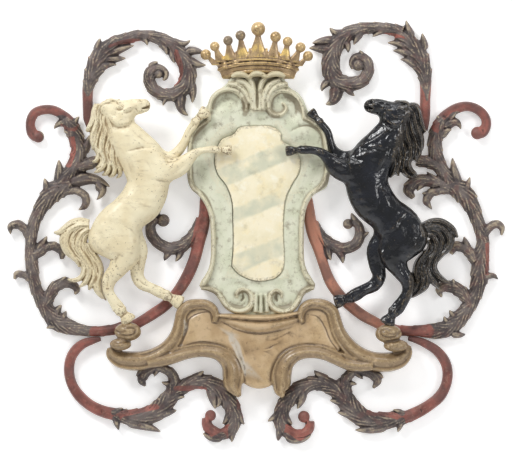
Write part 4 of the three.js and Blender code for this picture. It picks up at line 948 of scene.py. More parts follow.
# Places where the cartouche's paint is rubbed through to brown
CARTOUCHE_RUBBED = [
    [[-30, 214, 6], [-27, 232, 8], [-33, 250, 6]], [[30, 222, 5], [36, 212, 7], [52, 209, 5]],
    [[-122, 196, 4], [-140, 182, 7], [-160, 160, 5]], [[118, 200, 4], [138, 192, 6], [156, 180, 4]],
    [[-172, 60, 4], [-166, 38, 7], [-148, 18, 4]], [[176, 62, 4], [168, 42, 7], [150, 24, 4]],
    [[-142, -216, 4], [-120, -222, 6], [-98, -234, 4]], [[142, -214, 4], [122, -222, 6], [108, -236, 4]],
    [[-52, -236, 3], [-40, -226, 5], [-24, -228, 3]], [[36, -236, 3], [48, -227, 5], [60, -234, 3]],
    [[-60, 302, 3], [-30, 306, 6], [10, 306, 6], [60, 302, 3]],
]
CARTOUCHE_CARVING = [
    ("groove", 9, [[-106.2, 220, 10], [-95, 241, 13.5], [-75, 251, 15], [-55, 245, 12.5], [-46, 227.5, 9]]),
    ("groove", 9, [[82.5, 200, 12.5], [96.5, 220, 12.5], [94, 242.5, 12.5], [76.2, 254, 11.5],
                   [57.5, 253.5, 7.5]]),
    ("groove", 6, [[-150, 135, 11], [-146.5, 155, 12.5], [-132.5, 172.5, 11.5], [-112.5, 182.5, 9]]),
    ("ridge", 2.5, [[-95, 205, 12.5], [-77.5, 220, 13.8], [-60, 220, 11.2]]),
    ("ridge", 3, [[-32.5, 205, 12.5], [-2.5, 214, 15], [27.5, 203.5, 12.5]]),
    ("groove", 2.2, [[-42.5, 197.5, 10], [-2.5, 197.5, 12], [32.5, 194, 10]]),
    ("groove", 7, [[12.5, 311, 1.8], [14, 310, 1.9], [15.5, 309, 1.8]]),
    ("groove", 3.6, [[82.5, 170, 3], [92.5, 176, 3.8], [107.5, 182.5, 4], [125, 184.5, 3.8],
                     [142.5, 178.5, 3.8], [157.5, 165, 3.5], [164, 147.5, 2.8]]),
    ("ridge", 3, [[100, 162.5, 10], [122.5, 166, 12.5], [145, 155, 10]]),
    ("groove", 2.8, [[-158.5, 165, 3], [-147.5, 175, 3.8], [-132.5, 186.5, 4], [-116.5, 196.5, 2.8]]),
    ("groove", 5, [[-150, 100, 8.5], [-146, 75, 12.5], [-141, 50, 12.5], [-125, 32.5, 11.5]]),
    ("groove", 5, [[154, 105, 10], [152.5, 80, 12.5], [144, 55, 12.5], [126.5, 35, 11.5]]),
    ("groove", 3.6, [[-95, 0, 9], [-88.5, -35, 11], [-87.5, -80, 11.5], [-88.5, -125, 12],
                     [-93.5, -165, 12.5], [-105, -197.5, 11.5]]),
    ("groove", 3.6, [[101.5, 0, 8.5], [92.5, -35, 10], [89, -80, 10], [89, -125, 10.5], [95, -165, 11.5],
                     [109, -197.5, 11.5]]),
    ("groove", 2.6, [[-140, 23.5, 3.2], [-127.5, 8.5, 4], [-117.5, -12.5, 4], [-111.5, -35, 3]]),
    ("groove", 2.6, [[143.5, 21, 3], [129, 5, 3.8], [119, -15, 3.8], [114, -40, 2.8]]),
    ("groove", 3, [[-77.5, -207.5, 10], [-42.5, -209, 8.5], [2.5, -213.5, 8.5], [47.5, -210, 8.5],
                   [82.5, -207.5, 10]]),
    ("groove", 7, [[-36.5, -234, 3], [-35, -244, 4], [-41, -254, 3.5]]),
    ("groove", 7, [[49, -234, 3], [47, -244.5, 4], [52.5, -254, 3.5]]),
    ("groove", 4, [[-70, -250, 5], [-56, -261, 6], [-39, -262.5, 5], [-27.5, -252.5, 4]]),
    ("groove", 4, [[89, -247.5, 5], [77.5, -260, 6], [61.5, -264, 5], [47.5, -256.5, 4]]),
    ("groove", 4, [[-39, 248.5, 2.8], [-34, 235, 3.8], [-34, 220, 3]]),
    ("groove", 2.4, [[-77.5, 269, 2.2], [-55, 266.5, 2.8], [-38.5, 254, 2.5]]),
    ("groove", 2.4, [[85, 261, 2.2], [65, 266.5, 2.8], [46, 259, 2.8], [36.5, 242.5, 2.5]]),
    ("groove", 3, [[1, 270, 2.5], [0.5, 247.5, 3.2], [1, 225, 3]]),
    ("groove", 2, [[-131, -217.5, 3], [-115, -223.5, 3.5], [-96, -237.5, 3.5], [-83.5, -255, 2.8]]),
]

SHIELD_OUTLINE = [
    [-3, 185], [-47, 178], [-57, 165], [-87, 151], [-101, 125], [-105, 92], [-98, 65],
    [-76, 35], [-63, 0], [-60, -50], [-60, -135], [-62, -158], [-62, -166], [-57, -173], [-44, -186], [-37, -190],
    [-6, -201.5], [3, -202.5], [28, -200], [45, -195], [52, -190], [65, -172], [67, -163], [66, -87], [67, -32], [72, 5], [89, 42], [105, 70],
    [106, 105], [87, 132], [62, 149], [59, 167], [32, 184],
]

BASE_PANEL_OUTLINE = [
    [-178, -325], [-174, -288], [-146, -268], [-112, -270], [-90, -285], [0, -288], [90, -286],
    [117, -271], [147, -269], [179, -286], [190, -320], [207, -365], [200, -388], [160, -372],
    [125, -370], [92, -382], [70, -405], [54, -440], [36, -461], [4, -470], [-26, -461],
    [-48, -440], [-64, -405], [-84, -382], [-117, -368], [-155, -366], [-195, -380],
    [-200, -360],
]
BASE_UPPER_MOULDINGS = [
    [[-366, -367.5, 7.5], [-362.5, -382.5, 15], [-347.5, -394, 21], [-317.5, -401, 24],
     [-285, -400, 23.5], [-255, -390, 21.5], [-230, -375, 20], [-210, -354, 18.5], [-196.5, -327.5, 17],
     [-191, -302.5, 16], [-186, -280, 15.5], [-170, -264, 14.5], [-147.5, -259.5, 13.5],
     [-125, -261.5, 12.5], [-109, -271.5, 11], [-102.5, -287.5, 9], [-105, -303.5, 5]],
    [[375, -362.5, 7.5], [374, -377.5, 14], [360, -394, 21.5], [332.5, -403.5, 24.5], [300, -403.5, 24],
     [267.5, -394, 22.5], [240, -376.5, 21], [217.5, -352.5, 19.5], [201.5, -325, 18], [194, -300, 17],
     [186.5, -277.5, 16], [170, -264, 15], [147.5, -258.5, 13.5], [127.5, -261, 12.5],
     [113.5, -272.5, 11], [108.5, -289, 9], [112.5, -305, 5]],
]
BASE_LOWER_MOULDINGS = [
    [[-272.5, -400, 20], [-242.5, -395, 21], [-212.5, -389, 20.5], [-182.5, -380, 19.5],
     [-152.5, -374, 19], [-122.5, -373.5, 19.8], [-95, -379, 22], [-73.5, -394, 25], [-60, -415, 28.5],
     [-56.5, -440, 29.5], [-57.5, -460, 25.5], [-50, -477.5, 13.5], [-42.5, -489, 5]],
    [[287.5, -407.5, 17.5], [257.5, -409, 19], [227.5, -405, 19.5], [197.5, -392.5, 19],
     [170, -381.5, 18.5], [140, -376, 19], [110, -377.5, 20.5], [84, -388.5, 23], [67, -407.5, 25.5],
     [60, -432.5, 27], [60, -457.5, 24], [58.5, -477.5, 15], [65, -490, 5]],
]
BASE_CORNICES = [
    [[-97.5, -287.5, 5], [-62.5, -289.5, 6.5], [-27.5, -292, 7.5], [5, -293, 8], [37.5, -292, 7.5],
     [72.5, -287.5, 6.5], [105, -281, 5]],
    [[-92.5, -296, 6], [-55, -304.5, 13.5], [-22.5, -311.5, 17.5], [5, -314, 18.5], [32.5, -312, 17.5],
     [67.5, -304.5, 13.5], [105, -295, 7.5]],
]
BASE_KNOBS = [[-321, -327.5, 33.5, 23.5], [-339, -359, 27, 15], [326.5, -332.5, 33, 23.5], [345, -362, 31, 15.5]]
BASE_CARVING = [
    ("groove", 5, [[-352, -322, 2.4], [-340, -334, 3], [-321, -337, 3.2], [-303, -331, 3],
                   [-300, -321, 2.8], [-313, -315, 2.6], [-326, -319, 2.4]]),
    ("groove", 5, [[357, -327, 2.4], [345, -339, 3], [326, -342, 3.2], [308, -336, 3],
                   [305, -326, 2.8], [318, -320, 2.6], [331, -324, 2.4]]),
    ("groove", 3, [[-355, -324, 3], [-340, -328, 4], [-323.5, -325, 3.2]]),
    ("groove", 3, [[-325, -352.5, 3], [-307.5, -346.5, 4.2], [-290, -332.5, 3]]),
    ("groove", 4, [[-361, -351, 3], [-340, -353.5, 4], [-315, -350, 3]]),
    ("groove", 2, [[-332.5, -311, 3], [-315, -317.5, 4], [-295, -315, 3]]),
    ("groove", 3, [[315, -326, 3], [335, -333.5, 4], [355, -329, 3]]),
    ("groove", 4, [[316, -352, 3], [337.5, -350.5, 4], [361.5, -346, 3]]),
    ("groove", 2, [[322.5, -355, 2.2], [328.5, -362.5, 2.6], [329, -372.5, 2.2]]),
    ("groove", 3, [[-362.5, -367.5, 2.2], [-345, -377.5, 2.6], [-312.5, -382, 3], [-272.5, -381.5, 3],
                   [-242.5, -368.5, 2.6], [-220, -347, 2.2]]),
    ("ridge", 2, [[-362.5, -362, 2.5], [-345, -370, 3], [-312.5, -375, 3.2], [-275, -375, 3.2],
                  [-247.5, -364.5, 3]]),
    ("groove", 3, [[372.5, -374.5, 2.2], [347.5, -382, 2.6], [315, -385.5, 3], [280, -379.5, 3],
                   [250, -364.5, 2.6], [230, -344.5, 2.2]]),
    ("ridge", 2, [[372.5, -368.5, 2.5], [347.5, -375.5, 3], [315, -379, 3.2], [282.5, -373.5, 3.2],
                  [255, -359.5, 3]]),
    ("groove", 3.4, [[-192.5, -368.5, 2.2], [-182.5, -345, 2.6], [-172.5, -317.5, 2.8],
                     [-169, -297.5, 2.6], [-157.5, -288, 2.6], [-142.5, -282, 2.4], [-120, -278.5, 2.2]]),
    ("groove", 3.4, [[-187.5, -366.5, 2.2], [-156, -355, 2.6], [-117.5, -355, 2.8], [-80, -366, 2.8],
                     [-51.5, -392.5, 2.8], [-36.5, -425, 2.6], [-27.5, -460, 2.2]]),
    ("groove", 3.4, [[127.5, -285, 2.2], [150, -291, 2.6], [169, -317.5, 2.8], [182.5, -350, 2.8],
                     [202.5, -375, 2.6], [220, -394, 2.2]]),
    ("groove", 3.4, [[32.5, -465, 2.2], [34, -432.5, 2.6], [47.5, -397.5, 2.8], [70, -373.5, 2.8],
                     [105, -361.5, 2.8], [140, -360, 2.6], [170, -370, 2.2]]),
    ("groove", 2.4, [[-87.5, -303.5, 2.2], [-50, -323.5, 2.8], [5, -333.5, 3], [62.5, -324, 2.8],
                     [102.5, -311.5, 2.2]]),
    ("groove", 1.6, [[12.5, -340, 4], [45, -337.5, 5], [82.5, -326.5, 3.5]]),
    ("groove", 2, [[15, -371.5, 2.2], [32.5, -366.5, 3], [47.5, -356.5, 2.2]]),
    ("groove", 2.2, [[-67.5, -345, 4], [-57.5, -355, 6], [-47.5, -375, 6], [-35, -400, 4.5]]),
    ("groove", 2.6, [[-77.5, -405, 3.5], [-76, -430, 4.5], [-77.5, -450, 3.5]]),
    ("groove", 2.6, [[85, -402.5, 3], [81, -425, 4.2], [84, -445, 3.2]]),
    ("groove", 2.2, [[64, -450, 2.2], [64.5, -465, 2.8], [67.5, -477.5, 2.2]]),
]
# Places where the gilding is lost down to its grey ground
BASE_LOSSES = [
    [[-70, -330, 3], [-62, -346, 8], [-52, -362, 9], [-44, -385, 7], [-34, -412, 6], [-28, -436, 3]],
    [[-180, -300, 2], [-176, -318, 5], [-182, -336, 2]],
]
# Dark scratches across the base's panel
BASE_SCRATCHES = [
    [[22, -357, 1], [50, -344, 2.2], [82, -329, 1]], [[32, -368, 1], [52, -357, 2], [72, -349, 1]],
    [[-44, -336, 1], [-34, -352, 2], [-30, -372, 1]], [[8, -384, 1], [22, -378, 1.6], [34, -375, 1]],
]
KNOB_MIDDLE = 56
KNOB_DEPTH = 27.5

CROWN_X = 3
CROWN_BACK = 28
CROWN_ARCH = 15
CROWN_RINGS = [
    [301, 88, 57], [303, 90, 59.5], [306, 91.5, 60.5], [311, 93, 61], [316, 95, 62], [318, 96.5, 63],
    [319, 95.5, 62], [320.5, 100, 66.5], [322, 101.8, 68.2], [325, 102.4, 68.8], [327.5, 101.6, 68],
    [328.8, 99.4, 65.6], [329.6, 98.6, 64.8], [330.6, 100.6, 67], [332, 102.6, 68.8], [334.5, 103.2, 69.4],
    [336.5, 102.6, 68.6], [337.6, 100.2, 66.4], [338.6, 100.4, 66.6], [340, 101, 67], [341.2, 100, 66],
]
CROWN_POINTS = [[3, 424, 18, 2, 348.8, 21.5], [-41, 408, 12.8, -35, 347.5, 16],
                [-72, 395.5, 12.2, -64, 346.2, 14], [-105, 381.5, 12.2, -87.5, 342.5, 13],
                [-127.5, 361.5, 13.5, -97.5, 335, 12], [46, 404.5, 13.8, 38.5, 347.5, 14.5],
                [76, 393, 12.5, 67.5, 346.2, 13], [108, 379, 13, 87.5, 341.2, 13],
                [126.5, 357.5, 13, 98.5, 332.5, 12]]
CROWN_PEAKS = [[-18, 376.5, 10.5], [24, 376.5, 10.5], [-51, 369, 9], [54, 367.5, 9], [-79, 358.5, 8],
               [80, 358, 8]]
# Lines cut along the crown's band: height at its ends, half width
CROWN_LINES = [[309, 92], [318.5, 97], [323.5, 101], [329.6, 100], [337.8, 100]]
# Places where the crown's gilding is bright or has darkened
CROWN_BRIGHT = [
    [[-42, 364, 5], [-35, 369, 8], [-28, 364, 5]], [[60, 362, 5], [68, 368, 8], [76, 362, 5]],
    [[-8, 372, 5], [2, 380, 7], [12, 372, 5]], [[-84, 352, 4], [-78, 356, 6], [-72, 352, 4]],
]
CROWN_TARNISH = [[[-76, 396, 12], [-72, 396, 12], [-68, 396, 12]], [[-45, 409, 12], [-41, 409, 12], [-37, 408, 12]]]


def outline_ring(outline):
    """Points close together around a smooth outline, and the unit vectors that point into it."""
    line, _ = smooth_line([[*p, 1] for p in outline + outline[:1]], 3.0)
    ring = line[:-1, :2]
    along = np.roll(ring, -1, axis=0) - np.roll(ring, 1, axis=0)
    along /= np.linalg.norm(along, axis=1)[:, None]
    turn = np.sign(np.sum(ring[:, 0] * np.roll(ring[:, 1], -1) - ring[:, 1] * np.roll(ring[:, 0], -1)))
    return ring, np.stack([-along[:, 1], along[:, 0]], axis=1) * turn


def plate_body(outline, back, front, rounding=2.0, grow=0.0):
    """A board of a given outline with slightly rounded front edges."""
    ring, inward = outline_ring(outline)
    rings = []
    for depth, inset in ((back, -grow), (front - rounding, -grow),
                         (front - rounding * 0.3, rounding * 0.3 - grow), (front, rounding - grow)):
        place = ring + inward * inset
        rings.append(np.stack([place[:, 0], np.full(len(ring), -depth), place[:, 1]], axis=1))
    return close_rings(np.array(rings))


def build_cartouche(sizes, material):
    bodies = [plate_body(CARTOUCHE_OUTLINE, 0, sizes.field_depth)]
    bodies += [roll_body(stroke, 30, sizes.rim_depth) for stroke in CARTOUCHE_RIMS + CARTOUCHE_KEYS]
    bodies += [roll_body(stroke, 30, 62) for stroke in CARTOUCHE_FLUTES]
    bodies += [roll_body(stroke, 54, 74) for stroke in CROWN_PETALS]
    obj = merged_object("cartouche_carving", bodies)
    fuse(obj, sizes.cartouche_grain, smooth=9)
    carve(obj, CARTOUCHE_CARVING)
    pocket = [[x - 0.7, z - 0.3] for x, z in SHIELD_OUTLINE]
    cut_out(obj, plate_body(pocket, 29, 90, 0.1, grow=sizes.shield_gap))
    thin_out(obj, sizes.cartouche_triangles)
    points = points_of(obj)
    near_rim = distance_to(points, CARTOUCHE_RIMS + CARTOUCHE_FLUTES)
    set_mask(obj, "rim", np.clip((1.5 - near_rim) * 1.5, 0, 1) * (points[:, 1] < -41))
    set_mask(obj, "rubbed", np.clip((1.3 - distance_to(points, CARTOUCHE_RUBBED)) * 2, 0, 0.8))
    set_mask(obj, "petals", np.clip((1.5 - distance_to(points, CROWN_PETALS)) * 3, 0, 1) * (points[:, 1] < -58))
    finish_piece(obj, "cartouche", material)
    calm_relief(obj, SHIELD_OUTLINE)


def cut_out(obj, body):
    """Cuts one closed body out of an object."""
    cutter = merged_object("cutter", [body])
    finish_modifier(obj, "BOOLEAN", operation="DIFFERENCE", solver="EXACT", object=cutter)
    bpy.data.objects.remove(cutter)


def build_shield(sizes, material):
    """A cushion-shaped panel in rings from its edge to its middle."""
    ring, inward = outline_ring(SHIELD_OUTLINE)
    edge = ring + inward * sizes.shield_gap
    rings = [np.stack([edge[:, 0], np.full(len(edge), -30.2), edge[:, 1]], axis=1)]
    for share in (1.0, 0.995, 0.985, *np.linspace(0.96, 0.02, 26)):
        rise = 1 - share ** 2 if share < 1 else -0.3
        depth = sizes.shield_depth - sizes.shield_swell * (1 - rise)
        rings.append(np.stack([edge[:, 0] * share, np.full(len(edge), -depth), edge[:, 1] * share], axis=1))
    obj = merged_object("shield_panel", [close_rings(np.array(rings))])
    finish_piece(obj, "shield", material)


def build_base(sizes, material):
    bodies = [plate_body(BASE_PANEL_OUTLINE, 0, 50, 6)]
    for outer, stroke in zip((1, -1), BASE_UPPER_MOULDINGS):
        bodies.append(moulding_body(stroke, sizes.moulding_depth, outer))
    for outer, stroke in zip((-1, 1), BASE_LOWER_MOULDINGS):
        bodies.append(moulding_body(stroke, sizes.moulding_depth, outer))
    bodies += [roll_body(BASE_CORNICES[0], 20, 73.5), roll_body(BASE_CORNICES[1], 20, 66)]
    obj = merged_object("base_carving", bodies)
    join_into(obj, [knob_object(*knob) for knob in BASE_KNOBS])
    fuse(obj, sizes.base_grain, smooth=2)
    carve(obj, BASE_CARVING)
    thin_out(obj, sizes.base_triangles)
    points = points_of(obj)
    knobs = [[[x - 8, z, wide], [x, z, wide], [x + 8, z, wide]] for x, z, wide, _ in BASE_KNOBS]
    near_arm = distance_to(points, BASE_UPPER_MOULDINGS + BASE_LOWER_MOULDINGS + knobs)
    set_mask(obj, "arm", np.clip((1.15 - near_arm) * 6, 0, 1))
    grime = np.clip((1.15 - distance_to(points, knobs)) * 6, 0, 0.4)
    scratched = np.clip((1.3 - distance_to(points, BASE_SCRATCHES)) * 2, 0, 0.8)
    set_mask(obj, "grime", np.maximum(grime, scratched))
    set_mask(obj, "loss", np.clip((1.25 - distance_to(points, BASE_LOSSES)) * 2.5, 0, 1))
    finish_piece(obj, "base", material)


def moulding_body(stroke, depth, outer, step=3.0):
    """Broad moulding. From its outer side: a bead, a quirk, a big round, a hollow and a fillet."""
    line, _ = smooth_line(stroke, step)
    u = front_shares(45)
    v = -u[None, :] * outer
    full = np.clip(line[:, 2:3] / 20, 0.35, 1)
    depths = depth - 9 * full + 8 * full * np.exp(-((v + 0.14) / 0.42) ** 2)
    depths += 3.0 * full * (np.exp(-((v + 0.82) / 0.12) ** 2) + np.exp(-((v - 0.8) / 0.12) ** 2))
    depths -= 2.4 * full * (np.exp(-((v + 0.62) / 0.07) ** 2) + np.exp(-((v - 0.5) / 0.16) ** 2))
    depths = depths * (1 - 0.5 * v ** 10)
    shares, depths = with_back(u, depths, np.zeros(len(line)))
    return carve_along(line, shares, depths)


def knob_object(x, z, wide, high):
    bpy.ops.mesh.primitive_uv_sphere_add(segments=40, ring_count=24, radius=MM,
                                         location=(x * MM, -KNOB_MIDDLE * MM, z * MM))
    knob = bpy.context.active_object
    knob.scale = (wide, KNOB_DEPTH, high)
    bpy.ops.object.transform_apply(location=True, rotation=True, scale=True)
    return knob


def build_crown(sizes, material):
    turns = np.linspace(-math.pi / 2, math.pi / 2, 61)
    rings = []
    for z, half, depth in CROWN_RINGS:
        x = half * np.sin(turns)
        forward = CROWN_BACK + (depth - CROWN_BACK) * np.cos(turns)
        rings.append(np.stack([CROWN_X + x, -forward, z + CROWN_ARCH * (1 - (x / half) ** 2)], axis=1))
    obj = merged_object("crown_carving", [close_rings(np.array(rings))])
    others = []
    for ball_x, ball_z, radius, foot_x, foot_z, half in CROWN_POINTS:
        foot = crown_front(foot_x) - 7
        others.append(stalk_object(foot_x, foot_z, foot, ball_x, ball_z, foot + 5, half))
        others.append(ball_object(ball_x, foot + 5, ball_z, radius, radius))
    for x, z, half in CROWN_PEAKS:
        foot = crown_front(x) - 8
        others.append(stalk_object(x, z - 32, foot, x, z, foot, half, tip=2.6))
    join_into(obj, others)
    fuse(obj, sizes.crown_grain, smooth=1)
    carve(obj, [("groove", 2.2, arch_stroke(z, half)) for z, half in CROWN_LINES])
    thin_out(obj, sizes.crown_triangles)
    points = points_of(obj)
    set_mask(obj, "bright", np.clip((1.3 - distance_to(points, CROWN_BRIGHT)) * 2, 0, 1))
    set_mask(obj, "tarnish", np.clip((1.2 - distance_to(points, CROWN_TARNISH)) * 3, 0, 1))
    finish_piece(obj, "crown", material)


def arch_stroke(z, half):
    """A stroke along the crown's band at one height, following its arch."""
    return [[CROWN_X + half * share, z + CROWN_ARCH * (1 - share ** 2), 1.5]
            for share in np.linspace(-0.97, 0.97, 13)]


def crown_front(x):
    """How far the crown's band stands off the wall at x."""
    away = min(abs(x - CROWN_X) / 103, 0.97)
    return CROWN_BACK + (68 - CROWN_BACK) * math.sqrt(1 - away ** 2) + 7 * away


def stalk_object(foot_x, foot_z, foot_depth, top_x, top_z, top_depth, half, tip=5.0):
    """A point of the crown: a straight taper up to a small collar below its ball."""
    t = np.linspace(0, 1, 34)
    wide = tip + (half * 1.25 - tip) * np.clip(1 - t / 0.8, 0, None)
    wide += 1.4 * np.exp(-((t - 0.74) / 0.035) ** 2) * (tip > 3)
    deep = 4.2 + 3.0 * (1 - t)
    turns = np.linspace(0, 2 * math.pi, 21)[:-1]
    rings = np.empty((len(t), len(turns), 3))
    rings[:, :, 0] = (foot_x + (top_x - foot_x) * t)[:, None] + wide[:, None] * np.cos(turns)
    rings[:, :, 1] = -(foot_depth + (top_depth - foot_depth) * t)[:, None] + deep[:, None] * np.sin(turns)
    rings[:, :, 2] = (foot_z + (top_z - foot_z) * t)[:, None]
    return merged_object("stalk", [close_rings(rings)])


# The horses. A limb is a list of stations [x, z, depth of its middle, half width, half depth].

# A hoof is [x and z of its top, x and z of its sole, depth, half width at the top and at the sole, half depth].
# A lock of hair is (how far it stands off the wall, its stations). Carving is (kind, height, stations).

